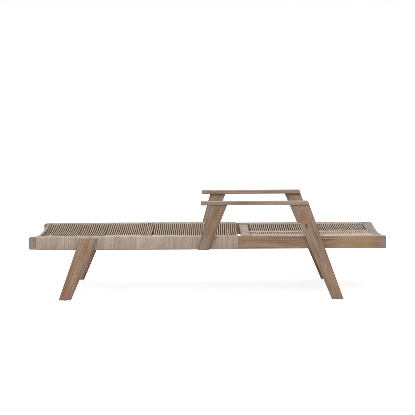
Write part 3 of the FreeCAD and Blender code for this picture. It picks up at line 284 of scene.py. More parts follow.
def cord_finish(name, look, rail, sag, lower, painted_light):
    """Twisted polypropylene cord: matt, slanted plies with painted shade between them, a little uneven,
    with painted shade inside the rails and under the hanging strands and painted light on the backrest.
    """
    finish, tree, shader = new_finish(name)
    where = put(tree, "ShaderNodeTexCoord").outputs["Object"]
    ply = put(tree, "ShaderNodeMapping", {
        "Vector": where, "Rotation": (0.0, 0.0, PLY_SLANT)}).outputs["Vector"]
    lay = put(tree, "ShaderNodeTexWave", {
        "Vector": ply, "Scale": wave_scale(PLY_WIDTH), "Distortion": 0.4},
        bands_direction="DIAGONAL").outputs["Fac"]
    # One strand is a little lighter or darker than the next, and so is one stretch of it.
    strand = put(tree, "ShaderNodeTexNoise", {
        "Vector": put(tree, "ShaderNodeMapping", {
            "Vector": where, "Scale": [1.0 / size for size in STRAND_SHADE]}).outputs["Vector"],
        "Scale": 1.0, "Detail": 1.0}).outputs["Fac"]
    stretch = put(tree, "ShaderNodeTexNoise", {
        "Vector": where, "Scale": 1.0 / STRETCH_SHADE, "Detail": 3.0}).outputs["Fac"]
    # Inside the rails and below the hanging strands the cord is painted darker: painted shade.
    place = put(tree, "ShaderNodeSeparateXYZ", {"Vector": where}).outputs
    aside = put(tree, "ShaderNodeMath", {0: place["Y"]}, operation="ABSOLUTE").outputs["Value"]
    share = put(tree, "ShaderNodeMath", {
        0: aside, 1: rail.corner_in}, operation="DIVIDE").outputs["Value"]
    hang = put(tree, "ShaderNodeMath", {
        0: put(tree, "ShaderNodeMath", {0: share, 1: 2.0}, operation="POWER").outputs["Value"],
        1: sag, 2: rail.over - sag}, operation="MULTIPLY_ADD").outputs["Value"]
    depth = put(tree, "ShaderNodeMath", {0: hang, 1: place["Z"]}, operation="SUBTRACT").outputs["Value"]
    below = put(tree, "ShaderNodeMapRange", {
        "Value": depth, "From Min": PAINTED_SHADE_BELOW[0], "From Max": PAINTED_SHADE_BELOW[1]}).outputs["Result"]
    within = put(tree, "ShaderNodeMapRange", {
        "Value": aside, "From Min": rail.corner_in - 1.0 * MM, "From Max": rail.corner_in + 3.0 * MM,
        "To Min": 1.0, "To Max": 0.0}).outputs["Result"]
    painted_shade_level = put(tree, "ShaderNodeMapRange", {
        "Value": aside, "From Min": rail.corner_in - 60.0 * MM, "From Max": rail.corner_in - 20.0 * MM,
        "To Min": lower, "To Max": look.painted_shade}).outputs["Result"]
    inside = put(tree, "ShaderNodeMath", {0: below, 1: within}, operation="MULTIPLY").outputs["Value"]
    # The painted shade: the cord's full colour in the open, darker inside the rails and below the hanging
    # strands.
    bleached = put(tree, "ShaderNodeMapRange", {
        "Value": inside, "To Min": 1.0, "To Max": painted_shade_level}).outputs["Result"]
    # The cord is painted darker in the grooves between its plies: painted shade.
    plies = put(tree, "ShaderNodeMix", {
        "Factor": put(tree, "ShaderNodeMapRange", {
            "Value": lay, "From Min": 0.0, "From Max": 0.55,
            "To Min": 0.25, "To Max": 0.0}).outputs["Result"],
        "A": (*look.colour, 1.0), "B": (*look.shade, 1.0)}, data_type="RGBA")
    uneven = put(tree, "ShaderNodeMath", {
        0: put(tree, "ShaderNodeMapRange", {
            "Value": strand, "From Min": 0.3, "From Max": 0.7,
            "To Min": 0.80, "To Max": 1.08}).outputs["Result"],
        1: put(tree, "ShaderNodeMapRange", {
            "Value": stretch, "From Min": 0.3, "From Max": 0.7,
            "To Min": 0.92, "To Max": 1.05}).outputs["Result"]},
        operation="MULTIPLY").outputs["Value"]
    uneven = put(tree, "ShaderNodeMath", {0: uneven, 1: bleached}, operation="MULTIPLY").outputs["Value"]
    # The backrest's cord is painted lighter, its left half more than its right half: painted light.
    paler = put(tree, "ShaderNodeMapRange", {
        "Value": place["Y"], "From Min": -40.0 * MM, "From Max": 60.0 * MM,
        "To Min": painted_light[0], "To Max": painted_light[1]}).outputs["Result"]
    uneven = put(tree, "ShaderNodeMath", {0: uneven, 1: paler}, operation="MULTIPLY").outputs["Value"]
    colour = put(tree, "ShaderNodeMix", {
        "Factor": 1.0, "A": plies.outputs[2], "B": uneven}, data_type="RGBA", blend_type="MULTIPLY")
    tree.links.new(colour.outputs[2], shader.inputs["Base Color"])
    bump = put(tree, "ShaderNodeBump", {"Height": lay, "Strength": 0.5, "Distance": 0.35 * MM})
    tree.links.new(bump.outputs["Normal"], shader.inputs["Normal"])
    shader.inputs["Roughness"].default_value = 0.82
    shader.inputs["IOR"].default_value = 1.49
    shader.inputs["Specular IOR Level"].default_value = 0.25
    return finish


# A knot's width as a share of its height, and how many radii away the grain still bends round it.
KNOT_SHARE = 0.7
KNOT_REACH = 2.8
# Lengths over which the wash fades in from a plank's end, and out behind its front half.
END_WASH_REACH = 60.0 * MM
FRONT_WASH_REACH = (24.0 * MM, 44.0 * MM)
# How much the wash varies from patch to patch, and the most that it covers.
WASH_SPREAD = 0.28
WASH_MOST = 0.92
# How deep into a rail's top the painted sheen reaches, and how far in from its outer face it starts and
# is full.
SHEEN_DEPTH = (0.5 * MM, 2.0 * MM)
SHEEN_REACH = (12.0 * MM, 18.0 * MM)


def timber_finish(name, look, plank):
    """Grey-washed acacia, planed: streaky grain, open pores, grey edges, a wash worn off in patches."""
    finish, tree, shader = new_finish(name)
    where = put(tree, "ShaderNodeTexCoord").outputs["Object"]
    grain = put(tree, "ShaderNodeMapping", {
        "Vector": where, "Rotation": plank.turn, "Location": plank.shift}).outputs["Vector"]

    # Knots and patches of colour: the grain flows round each knot.
    hearts = []
    for x, z, radius, colour, strength, swirl in plank.marks:
        away = put(tree, "ShaderNodeVectorMath", {0: where, 1: (x, 0.0, z)}, operation="SUBTRACT")
        away = put(tree, "ShaderNodeVectorMath", {
            0: away.outputs["Vector"], 1: (1.0 / radius, 0.0, KNOT_SHARE / radius)}, operation="MULTIPLY")
        reach = put(tree, "ShaderNodeVectorMath", {
            0: away.outputs["Vector"]}, operation="LENGTH").outputs["Value"]
        near = put(tree, "ShaderNodeMapRange", {
            "Value": reach, "From Min": 0.0, "From Max": KNOT_REACH,
            "To Min": swirl * radius, "To Max": 0.0},
            interpolation_type="SMOOTHERSTEP").outputs["Result"]
        push = put(tree, "ShaderNodeCombineXYZ", {"Z": near}).outputs["Vector"]
        grain = put(tree, "ShaderNodeVectorMath", {0: grain, 1: push}).outputs["Vector"]
        heart = put(tree, "ShaderNodeMapRange", {
            "Value": reach, "From Min": 0.4, "From Max": 1.2, "To Min": strength, "To Max": 0.0},
            interpolation_type="SMOOTHSTEP").outputs["Result"]
        hearts.append((heart, colour))

    # How far a point lies from the nearest edge: of its distances to the three pairs of faces, the
    # second least.
    spans, fronts, backs = [], [], []
    for pair in plank.faces:
        sides = []
        for inward, offset in pair:
            depth = put(tree, "ShaderNodeVectorMath", {0: where, 1: inward}, operation="DOT_PRODUCT")
            sides.append(put(tree, "ShaderNodeMath", {
                0: depth.outputs["Value"], 1: offset}, operation="SUBTRACT").outputs["Value"])
        fronts.append(sides[0])
        backs.append(sides[1])
        spans.append(put(tree, "ShaderNodeMath", {
            0: sides[0], 1: sides[1]}, operation="MINIMUM").outputs["Value"])
    less = put(tree, "ShaderNodeMath", {0: spans[1], 1: spans[2]}, operation="MINIMUM").outputs["Value"]
    more = put(tree, "ShaderNodeMath", {0: spans[1], 1: spans[2]}, operation="MAXIMUM").outputs["Value"]
    more = put(tree, "ShaderNodeMath", {0: spans[0], 1: more}, operation="MINIMUM").outputs["Value"]
    inset = put(tree, "ShaderNodeMath", {0: less, 1: more}, operation="MAXIMUM").outputs["Value"]

    streak = put(tree, "ShaderNodeTexNoise", {
        "Vector": put(tree, "ShaderNodeMapping", {
            "Vector": grain, "Scale": (1.0 / look.streak_length, 1.0 / look.streak, 1.0 / look.streak)
        }).outputs["Vector"],
        "Scale": 1.0, "Detail": 4.0, "Roughness": 0.62, "Distortion": 0.5}).outputs["Fac"]
    rings = put(tree, "ShaderNodeTexWave", {
        "Vector": put(tree, "ShaderNodeMapping", {
            "Vector": grain, "Scale": (0.06, 0.5, 1.0)}).outputs["Vector"],
        "Scale": wave_scale(look.ring), "Distortion": 5.0, "Detail": 2.0, "Detail Scale": 1.3},
        bands_direction="Z", wave_profile="SAW").outputs["Fac"]
    pores = put(tree, "ShaderNodeTexNoise", {
        "Vector": put(tree, "ShaderNodeMapping", {
            "Vector": grain, "Scale": (1.0 / (24.0 * look.pore), 1.0 / look.pore, 1.0 / look.pore)
        }).outputs["Vector"],
        "Scale": 1.0, "Detail": 2.0}).outputs["Fac"]
    patches = put(tree, "ShaderNodeTexNoise", {
        "Vector": put(tree, "ShaderNodeMapping", {
            "Vector": grain, "Scale": (9.0, 30.0, 30.0), "Location": (3.0, 1.0, 2.0)}).outputs["Vector"],
        "Scale": 1.0, "Detail": 3.0, "Roughness": 0.6})
    patch = put(tree, "ShaderNodeSeparateColor", {"Color": patches.outputs["Color"]})

    body = put(tree, "ShaderNodeValToRGB", {"Fac": streak}, stops=(
        (0.0, look.dark), (0.34, look.dark), (0.5, look.warm), (0.68, look.pale), (1.0, look.pale)))
    late = put(tree, "ShaderNodeMix", {
        "Factor": put(tree, "ShaderNodeMapRange", {
            "Value": rings, "From Min": 0.55, "From Max": 1.0,
            "To Min": 0.0, "To Max": 0.4}).outputs["Result"],
        "A": body.outputs["Color"], "B": (*look.dark, 1.0)}, data_type="RGBA")
    red = put(tree, "ShaderNodeMix", {
        "Factor": put(tree, "ShaderNodeMapRange", {
            "Value": patch.outputs["Green"], "From Min": 0.5, "From Max": 0.66,
            "To Min": 0.0, "To Max": plank.russet}).outputs["Result"],
        "A": late.outputs[2], "B": (*look.russet, 1.0)}, data_type="RGBA")
    # The wash lies in patches, heavier towards the plank's ends and, on one post, along its front half.
    ends = put(tree, "ShaderNodeMapRange", {
        "Value": spans[0], "From Min": 0.0, "From Max": END_WASH_REACH,
        "To Min": plank.end_wash, "To Max": 0.0}).outputs["Result"]
    half = put(tree, "ShaderNodeMapRange", {
        "Value": fronts[1], "From Min": FRONT_WASH_REACH[0], "From Max": FRONT_WASH_REACH[1],
        "To Min": plank.front_wash, "To Max": 0.0}).outputs["Result"]
    extra = put(tree, "ShaderNodeMath", {0: ends, 1: half}).outputs["Value"]
    washed = put(tree, "ShaderNodeMix", {
        "Factor": put(tree, "ShaderNodeMath", {
            0: put(tree, "ShaderNodeMapRange", {
                "Value": patch.outputs["Red"], "From Min": 0.34, "From Max": 0.66,
                "To Min": max(0.0, plank.wash - WASH_SPREAD),
                "To Max": min(WASH_MOST, plank.wash + WASH_SPREAD)}).outputs["Result"],
            1: extra}, operation="ADD", use_clamp=True).outputs["Value"],
        "A": red.outputs[2], "B": (*plank.wash_colour, 1.0)}, data_type="RGBA")
    # Worn grey along the edges, ragged as the grain is.
    ragged = put(tree, "ShaderNodeMath", {
        0: put(tree, "ShaderNodeMath", {0: streak, 1: 0.5}, operation="SUBTRACT").outputs["Value"],
        1: 2.0 * look.edge_width, 2: inset}, operation="MULTIPLY_ADD").outputs["Value"]
    worn = put(tree, "ShaderNodeMix", {
        "Factor": put(tree, "ShaderNodeMapRange", {
            "Value": ragged, "From Min": 0.15 * look.edge_width, "From Max": look.edge_width,
            "To Min": 0.75, "To Max": 0.0}).outputs["Result"],
        "A": washed.outputs[2], "B": (*look.edge, 1.0)}, data_type="RGBA")
    # A painted sheen lightens the top of a side rail, up to its worn outer edge.
    top = put(tree, "ShaderNodeMapRange", {
        "Value": backs[2], "From Min": SHEEN_DEPTH[0], "From Max": SHEEN_DEPTH[1],
        "To Min": plank.top_painted_sheen, "To Max": 0.0}).outputs["Result"]
    inner = put(tree, "ShaderNodeMapRange", {
        "Value": fronts[1], "From Min": SHEEN_REACH[0], "From Max": SHEEN_REACH[1]}).outputs["Result"]
    with_sheen = put(tree, "ShaderNodeMix", {
        "Factor": put(tree, "ShaderNodeMath", {0: top, 1: inner}, operation="MULTIPLY").outputs["Value"],
        "A": worn.outputs[2], "B": (*look.pale_and_painted_light, 1.0)}, data_type="RGBA")
    # Painted shade, in the dark knot colour, darkens the face that some planks turn away.
    turned = put(tree, "ShaderNodeMix", {
        "Factor": put(tree, "ShaderNodeMapRange", {
            "Value": backs[1], "From Min": 0.6 * plank.rear_shade_reach, "From Max": plank.rear_shade_reach,
            "To Min": plank.dark_rear, "To Max": 0.0}).outputs["Result"],
        "A": with_sheen.outputs[2], "B": (*look.knot, 1.0)}, data_type="RGBA")
    open_pores = put(tree, "ShaderNodeMapRange", {
        "Value": pores, "From Min": 0.30, "From Max": 0.44,
        "To Min": 0.72 * plank.tone, "To Max": plank.tone}).outputs["Result"]
    colour = put(tree, "ShaderNodeMix", {
        "Factor": 1.0, "A": turned.outputs[2], "B": open_pores},
        data_type="RGBA", blend_type="MULTIPLY").outputs[2]
    for heart, heart_colour in hearts:
        colour = put(tree, "ShaderNodeMix", {
            "Factor": heart, "A": colour, "B": (*heart_colour, 1.0)}, data_type="RGBA").outputs[2]
    tree.links.new(colour, shader.inputs["Base Color"])
    rough = put(tree, "ShaderNodeMapRange", {
        "Value": streak, "From Min": 0.3, "From Max": 0.7,
        "To Min": 0.76, "To Max": 0.62}).outputs["Result"]
    tree.links.new(rough, shader.inputs["Roughness"])
    height = put(tree, "ShaderNodeMath", {0: open_pores, 1: rings}, operation="ADD")
    bump = put(tree, "ShaderNodeBump", {
        "Height": height.outputs["Value"], "Strength": 0.25, "Distance": 0.4 * MM})
    tree.links.new(bump.outputs["Normal"], shader.inputs["Normal"])
    shader.inputs["IOR"].default_value = 1.5
    return finish


# Sizes of the beech's grain: the pegs lie along y.
BEECH_GRAIN = (2.5 * MM, 60.0 * MM, 2.5 * MM)
# The brush lines of the steel are drawn wider than they are, so that they show.
BRUSH_LINES = (20.0 * MM, 20.0 * MM, 0.5 * MM)
FILM_BLOTCH = 6.0 * MM
NYLON_GRIT = 0.8 * MM
NYLON_SCUFF = 9.0 * MM


def dowel_finish(name, look):
    """Beech, turned round: fine even grain along the peg, with short dark flecks."""
    finish, tree, shader = new_finish(name)
    where = put(tree, "ShaderNodeTexCoord").outputs["Object"]
    grain = put(tree, "ShaderNodeTexNoise", {
        "Vector": put(tree, "ShaderNodeMapping", {
            "Vector": where, "Scale": [1.0 / size for size in BEECH_GRAIN]}).outputs["Vector"],
        "Scale": 1.0, "Detail": 3.0}).outputs["Fac"]
    colour = put(tree, "ShaderNodeValToRGB", {"Fac": grain}, stops=(
        (0.0, look.warm), (0.35, look.warm), (0.6, look.pale), (1.0, look.pale)))
    tree.links.new(colour.outputs["Color"], shader.inputs["Base Color"])
    bump = put(tree, "ShaderNodeBump", {"Height": grain, "Strength": 0.2, "Distance": 0.2 * MM})
    tree.links.new(bump.outputs["Normal"], shader.inputs["Normal"])
    shader.inputs["Roughness"].default_value = 0.6
    shader.inputs["IOR"].default_value = 1.5
    return finish


def steel_finish(name, look):
    """Brushed stainless steel, soft in gloss, with fine lines and the tan film that it takes outdoors."""
    finish, tree, shader = new_finish(name)
    where = put(tree, "ShaderNodeTexCoord").outputs["Object"]
    film = put(tree, "ShaderNodeTexNoise", {
        "Vector": where, "Scale": 1.0 / FILM_BLOTCH, "Detail": 4.0}).outputs["Fac"]
    lines = put(tree, "ShaderNodeTexNoise", {
        "Vector": put(tree, "ShaderNodeMapping", {
            "Vector": where, "Scale": [1.0 / size for size in BRUSH_LINES]}).outputs["Vector"],
        "Scale": 1.0, "Detail": 2.0}).outputs["Fac"]
    colour = put(tree, "ShaderNodeMix", {
        "Factor": put(tree, "ShaderNodeMapRange", {
            "Value": film, "From Min": 0.3, "From Max": 0.6,
            "To Min": 0.45, "To Max": 1.0}).outputs["Result"],
        "A": (*look.steel, 1.0), "B": (*look.film, 1.0)}, data_type="RGBA")
    tree.links.new(colour.outputs[2], shader.inputs["Base Color"])
    rough = put(tree, "ShaderNodeMapRange", {
        "Value": lines, "From Min": 0.3, "From Max": 0.7, "To Min": 0.5, "To Max": 0.3}).outputs["Result"]
    tree.links.new(rough, shader.inputs["Roughness"])
    bump = put(tree, "ShaderNodeBump", {"Height": lines, "Strength": 0.15, "Distance": 0.1 * MM})
    tree.links.new(bump.outputs["Normal"], shader.inputs["Normal"])
    shader.inputs["Metallic"].default_value = 1.0
    return finish


def nylon_finish(name, look):
    """Moulded nylon: a dull skin with a fine grain, scuffed paler where it rubs."""
    finish, tree, shader = new_finish(name)
    where = put(tree, "ShaderNodeTexCoord").outputs["Object"]
    grit = put(tree, "ShaderNodeTexNoise", {
        "Vector": where, "Scale": 1.0 / NYLON_GRIT, "Detail": 2.0}).outputs["Fac"]
    scuff = put(tree, "ShaderNodeTexNoise", {
        "Vector": where, "Scale": 1.0 / NYLON_SCUFF, "Detail": 4.0}).outputs["Fac"]
    colour = put(tree, "ShaderNodeMix", {
        "Factor": put(tree, "ShaderNodeMapRange", {
            "Value": scuff, "From Min": 0.5, "From Max": 0.8,
            "To Min": 0.0, "To Max": 0.5}).outputs["Result"],
        "A": (*look.nylon, 1.0), "B": (*[min(1.0, 1.8 * c) for c in look.nylon], 1.0)}, data_type="RGBA")
    tree.links.new(colour.outputs[2], shader.inputs["Base Color"])
    bump = put(tree, "ShaderNodeBump", {"Height": grit, "Strength": 0.3, "Distance": 0.1 * MM})
    tree.links.new(bump.outputs["Normal"], shader.inputs["Normal"])
    shader.inputs["Roughness"].default_value = 0.55
    shader.inputs["IOR"].default_value = 1.53
    return finish


# ---------------------------------------------------------------- cord

# Where a hanging strand bends, as shares of the way from the middle to the rail.
HANG_SHARES = (0.2, 0.4, 0.6, 0.8, 1.0)
# Steps in which a cord bends round one edge of a rail.
BEND_STEPS = 2
# How much less the turns round a rail stray than the strands do.
TURN_STRAY = 0.3


def cord_ring(bm, look, y, z):
    """Start a cord that runs along y: the ring of edges round its first end."""
    facing = Matrix.Translation((0.0, y, z)) @ Matrix.Rotation(QUARTER, 4, "X")
    made = bmesh.ops.create_circle(
        bm, cap_ends=False, radius=0.5 * look.thickness, segments=look.sides, matrix=facing)
    return list({edge for vert in made["verts"] for edge in vert.link_edges})


def run_on(bm, ring, along, up):
    """Lead a cord straight on by so much along y and z."""
    made = bmesh.ops.extrude_edge_only(bm, edges=ring)["geom"]
    verts = [part for part in made if isinstance(part, bmesh.types.BMVert)]
    bmesh.ops.translate(bm, verts=verts, vec=(0.0, along, up))
    return [part for part in made
            if isinstance(part, bmesh.types.BMEdge) and all(v in verts for v in part.verts)]


def bend_on(bm, ring, y, z):
    """Bend a cord by a quarter turn round a rail edge whose centre is at y and z."""
    made = bmesh.ops.spin(
        bm, geom=ring, cent=(0.0, y, z), axis=(1.0, 0.0, 0.0), angle=-QUARTER, steps=BEND_STEPS)
    return [part for part in made["geom_last"] if isinstance(part, bmesh.types.BMEdge)]


class Rail:
    """One wound rail's section, on the positive y side: where the middle of the cord runs round it."""

    def __init__(self, look, node):
        low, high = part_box(node)
        off = look.clearance + 0.5 * look.thickness
        self.corner_in = low[1] + look.edge_round
        self.corner_out = high[1] - look.edge_round
        self.corner_low = low[2] + look.edge_round
        self.corner_high = high[2] - look.edge_round
        self.over = high[2] + off
        self.under = low[2] - off


def round_outside(bm, ring, rail):
    """Lead a cord over a rail, down its outside and back in below it."""
    ring = run_on(bm, ring, rail.corner_out - rail.corner_in, 0.0)
    ring = bend_on(bm, ring, rail.corner_out, rail.corner_high)
    ring = run_on(bm, ring, 0.0, rail.corner_low - rail.corner_high)
    ring = bend_on(bm, ring, rail.corner_out, rail.corner_low)
    return run_on(bm, ring, rail.corner_in - rail.corner_out, 0.0)


def crossing_strand(look, rail, sag):
    """One strand: hanging across the top and round the outside of both rails to their undersides."""
    bm = bmesh.new()
    ring = cord_ring(bm, look, 0.0, rail.over - sag)
    was = 0.0
    for part in HANG_SHARES:
        ring = run_on(bm, ring, (part - was) * rail.corner_in, sag * (part ** 2 - was ** 2))
        was = part
    round_outside(bm, ring, rail)
    bmesh.ops.mirror(bm, geom=bm.verts[:] + bm.edges[:] + bm.faces[:], axis="Y", merge_dist=WELD)
    return bm


def return_strand(look, rail):
    """The way back below: straight from one rail's underside to the other's."""
    bm = bmesh.new()
    ring = cord_ring(bm, look, -rail.corner_in, rail.under)
    run_on(bm, ring, 2.0 * rail.corner_in, 0.0)
    return bm


def rail_turn(look, rail, whole):
    """One turn of cord round a rail alone, or the part of it that a crossbar's end leaves room for."""
    bm = bmesh.new()
    ring = round_outside(bm, cord_ring(bm, look, rail.corner_in, rail.over), rail)
    if whole:
        ring = bend_on(bm, ring, rail.corner_in, rail.corner_low)
        ring = run_on(bm, ring, 0.0, rail.corner_high - rail.corner_low)
        bend_on(bm, ring, rail.corner_in, rail.corner_high)
        bmesh.ops.remove_doubles(bm, verts=bm.verts, dist=WELD)
    else:
        bmesh.ops.holes_fill(bm, edges=bm.edges, sides=look.sides)
    return bm


def lay_out(bm, pattern, places):
    """Copy a cord pattern to each place along x, slanted by so much for each metre across."""
    mesh = bpy.data.meshes.new("cord_pattern")
    pattern.to_mesh(mesh)
    pattern.free()
    for x, slant in places:
        before = len(bm.verts)
        bm.from_mesh(mesh)
        bm.verts.ensure_lookup_table()
        lean = Matrix.Translation((x, 0.0, 0.0))
        lean[0][1] = slant
        bmesh.ops.transform(bm, matrix=lean, verts=bm.verts[before:])
    bpy.data.meshes.remove(mesh)


def slant_at(look, spreads, x):
    """How far a strand slants for each metre across, next to a place where the pairs spread apart."""
    slant = 0.0
    for spread, share in spreads:
        off = x - spread * MM
        slant -= math.copysign(share * look.fan * max(0.0, 1.0 - abs(off) / look.fan_reach), off)
    return slant


def wind_panel(look, panel, body, rail_node, nets, wraps, sag, lower, painted_light, runs,
               spreads=(), crossbars=()):
    """Wind one panel: pairs of strands across, and turns round each rail that fill between the pairs."""
    chance = random.Random(look.seed)
    rail = Rail(look, rail_node)
    finish = cord_finish(panel + "_twisted_polypropylene", look, rail, sag, lower, painted_light)
    middles = [(first + step * spacing) * MM for first, spacing, count in runs for step in range(count)]
    wrap_low, wrap_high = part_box(wraps[0])
    if middles[0] - look.thickness < wrap_low[0] or middles[-1] + look.thickness > wrap_high[0]:
        raise RuntimeError(panel + " has no room for its strands")

    half = 0.5 * look.thickness
    strands = []
    for middle in middles:
        stray = chance.uniform(-1.0, 1.0) * look.wander
        strands += [middle + stray - half, middle + stray + half]
    slanted = [(x, slant_at(look, spreads, x)) for x in strands]
    left = [x - rail.corner_in * slant for x, slant in slanted]
    right = [x + rail.corner_in * slant for x, slant in slanted]
    bm = bmesh.new()
    lay_out(bm, crossing_strand(look, rail, sag), slanted)
    # Below, each strand goes back to where the next pair starts.
    returns = [(0.5 * (x + after), 0.5 * (x - after) / rail.corner_in)
               for x, after in zip(right, left[2:])]
    lay_out(bm, return_strand(look, rail), returns)
    bmesh.ops.remove_doubles(bm, verts=bm.verts, dist=WELD)
    bmesh.ops.holes_fill(bm, edges=bm.edges, sides=look.sides)
    make_piece(bm, panel + "_cord_strands", finish, body, nets)

    # On each rail, turns of cord fill the room between one pair and the next.
    boxes = [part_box(node) for node in crossbars]
    for side, wrap, ends in ((-1.0, wraps[0], left), (1.0, wraps[1], right)):
        rooms = [(wrap_low[0], ends[0] - half)]
        rooms += [(a + half, b - half) for a, b in zip(ends[1::2], ends[2::2])]
        rooms += [(ends[-1] + half, wrap_high[0])]
        fills = []
        for low, high in rooms:
            turns = round((high - low) / look.thickness)
            fills += [low + (i + 0.5) * (high - low) / turns for i in range(turns)]
        blocked = [x for x in fills if any(low[0] - half < x < high[0] + half for low, high in boxes)]
        bm = bmesh.new()
        for whole in (True, False):
            places = [(x + TURN_STRAY * chance.uniform(-1.0, 1.0) * look.wander, 0.0)
                      for x in fills if (x in blocked) != whole]
            lay_out(bm, rail_turn(look, rail, whole), places)
        if side < 0.0:
            bmesh.ops.scale(bm, verts=bm.verts, vec=(1.0, -1.0, 1.0))
        label = panel + ("_cord_turns_left" if side < 0.0 else "_cord_turns_right")
        make_piece(bm, label, finish, body, [wrap])


# The pairs as hand winding left them, in millimetres: each run's first pair, its spacing and its count.
SEAT_RUNS = ((-951.1, 12.2, 16), (-750.8, 12.62, 12), (-592.6, 12.15, 11), (-459.8, 11.39, 12),
             (-314.6, 11.84, 19), (-89.2, 12.22, 22))
BACK_RUNS = ((258.0, 11.81, 11), (388.2, 12.1, 28), (725.7, 10.92, 19))
# Where the seat's pairs spread apart towards the left rail, in millimetres along x, and how strongly.
SEAT_SPREADS = ((-957.0, 1.7), (-759.4, 1.0), (-602.3, 1.0), (-324.6, 1.0))


class LOUNGER_OT_seat_cord(bpy.types.Operator):
    """Wind the seat: strands across the side rails and turns round them"""
    bl_idname = "lounger.seat_cord"
    bl_label = "Wind the seat"

    def execute(self, context):
        look = context.scene.lounger_cord
        wind_panel(look, "seat", "base_frame", "side_rail_right", ["seat_cord_top", "seat_cord_bottom"],
                   ["rail_wrap_left", "rail_wrap_right"], look.seat_sag, look.painted_shade, (1.0, 1.0),
                   SEAT_RUNS, SEAT_SPREADS, ["front_seat_crossbar", "rear_seat_crossbar"])
        return {"FINISHED"}


class LOUNGER_OT_back_cord(bpy.types.Operator):
    """Wind the backrest: strands across its own rails and turns round them"""
    bl_idname = "lounger.back_cord"
    bl_label = "Wind the backrest"

    def execute(self, context):
        look = context.scene.lounger_cord
        wind_panel(look, "back", "backrest", "back_rail_right", ["back_cord_top", "back_cord_bottom"],
                   ["back_wrap_left", "back_wrap_right"], look.back_sag, look.back_painted_shade,
                   (look.left_painted_light, look.back_painted_light), BACK_RUNS)
        return {"FINISHED"}


# ---------------------------------------------------------------- timber and fittings

# How strongly each kind of mark colours the timber, and how far it pushes the grain aside.
MARKS = {"knot": (0.8, 1.6), "live_knot": (0.8, 1.6), "russet": (0.45, 0.0), "pale": (0.5, 0.0)}
# Each plank's grey wash, its tone, and its marks in millimetres: x, z, radius and kind. The tones above
# one on the far armrest, front leg, post and rear leg are painted light on their shaded faces.
PLANKS = {
    "side_rail_left": (0.0, 0.92, ((830.0, 312.0, 140.0, "pale"),)),
    "side_rail_right": (0.2, 1.0, ()),
    "armrest_left": (0.6, 0.93, ()),
    "armrest_right": (0.45, 1.1, ()),
    "front_leg_left": (0.22, 1.03, ((-745.0, 171.0, 5.0, "knot"), (-737.0, 154.0, 5.0, "knot"),
                                    (-741.0, 163.0, 7.0, "live_knot"), (-741.0, 143.0, 6.0, "live_knot"),
                                    (-785.0, 45.0, 40.0, "russet"))),
    "front_leg_right": (0.22, 1.65, ()),
    "arm_post_left": (0.0, 0.79, ()),
    "arm_post_right": (0.3, 1.2, ()),
    "rear_leg_left": (0.25, 0.98, ((551.0, 416.0, 10.0, "knot"), (659.0, 190.0, 6.0, "live_knot"))),
    "rear_leg_right": (0.25, 1.2, ()),
    "back_rail_left": (0.5, 1.0, ()),
    "back_rail_right": (0.5, 1.0, ()),
    "prop_rack_left": (0.3, 1.0, ()),
    "prop_rack_right": (0.3, 1.0, ()),
    "prop_arm_left": (0.3, 1.0, ()),
    "prop_arm_right": (0.3, 1.0, ()),
    "front_seat_crossbar": (0.4, 1.0, ()),
    "rear_seat_crossbar": (0.4, 1.0, ()),
    "back_support_crossbar": (0.4, 1.0, ()),
    "head_support_crossbar": (0.4, 1.0, ()),
    "prop_batten": (0.4, 1.0, ()),
    "foot_crossbar": (0.8, 0.9, ()),
    "back_lower_crossbar": (0.9, 0.93, ()),
    "back_head_crossbar": (0.75, 0.76, ()),
    "back_spine": (0.95, 1.0, ()),
}
# The backrest's middle bar takes the pale colour that also holds painted light.
PALE_WASHED = {"foot_crossbar": "pale_wash", "back_lower_crossbar": "pale_wash",
               "back_head_crossbar": "pale_wash", "back_spine": "pale_and_painted_light"}
# How dark the painted shade on the rear of a plank is, and how far it reaches round its edge, in
# millimetres.
PAINTED_REAR_SHADE = {"foot_crossbar": (0.85, 3.0), "front_leg_right": (0.6, 11.0)}
# More wash along a front half, and a painted sheen on a rail's top.
FRONT_WASHED = {"arm_post_left": 0.22}
TOP_PAINTED_SHEEN = {"side_rail_left": 0.75}
# The wash at a plank's ends and its share of red heartwood, on the side rails and on the rest.
RAIL_END_WASH, END_WASH = 0.8, 0.15
LITTLE_RUSSET, RUSSET = 0.2, 0.55
TAPERED = ("front_leg", "arm_post", "rear_leg")
# How far each plank's grain is shifted from the one before, in metres.
GRAIN_SHIFT = (0.37, 0.053, 0.091)
# Share of a leg's height that counts as its foot or its head.
END_SHARE = 0.02


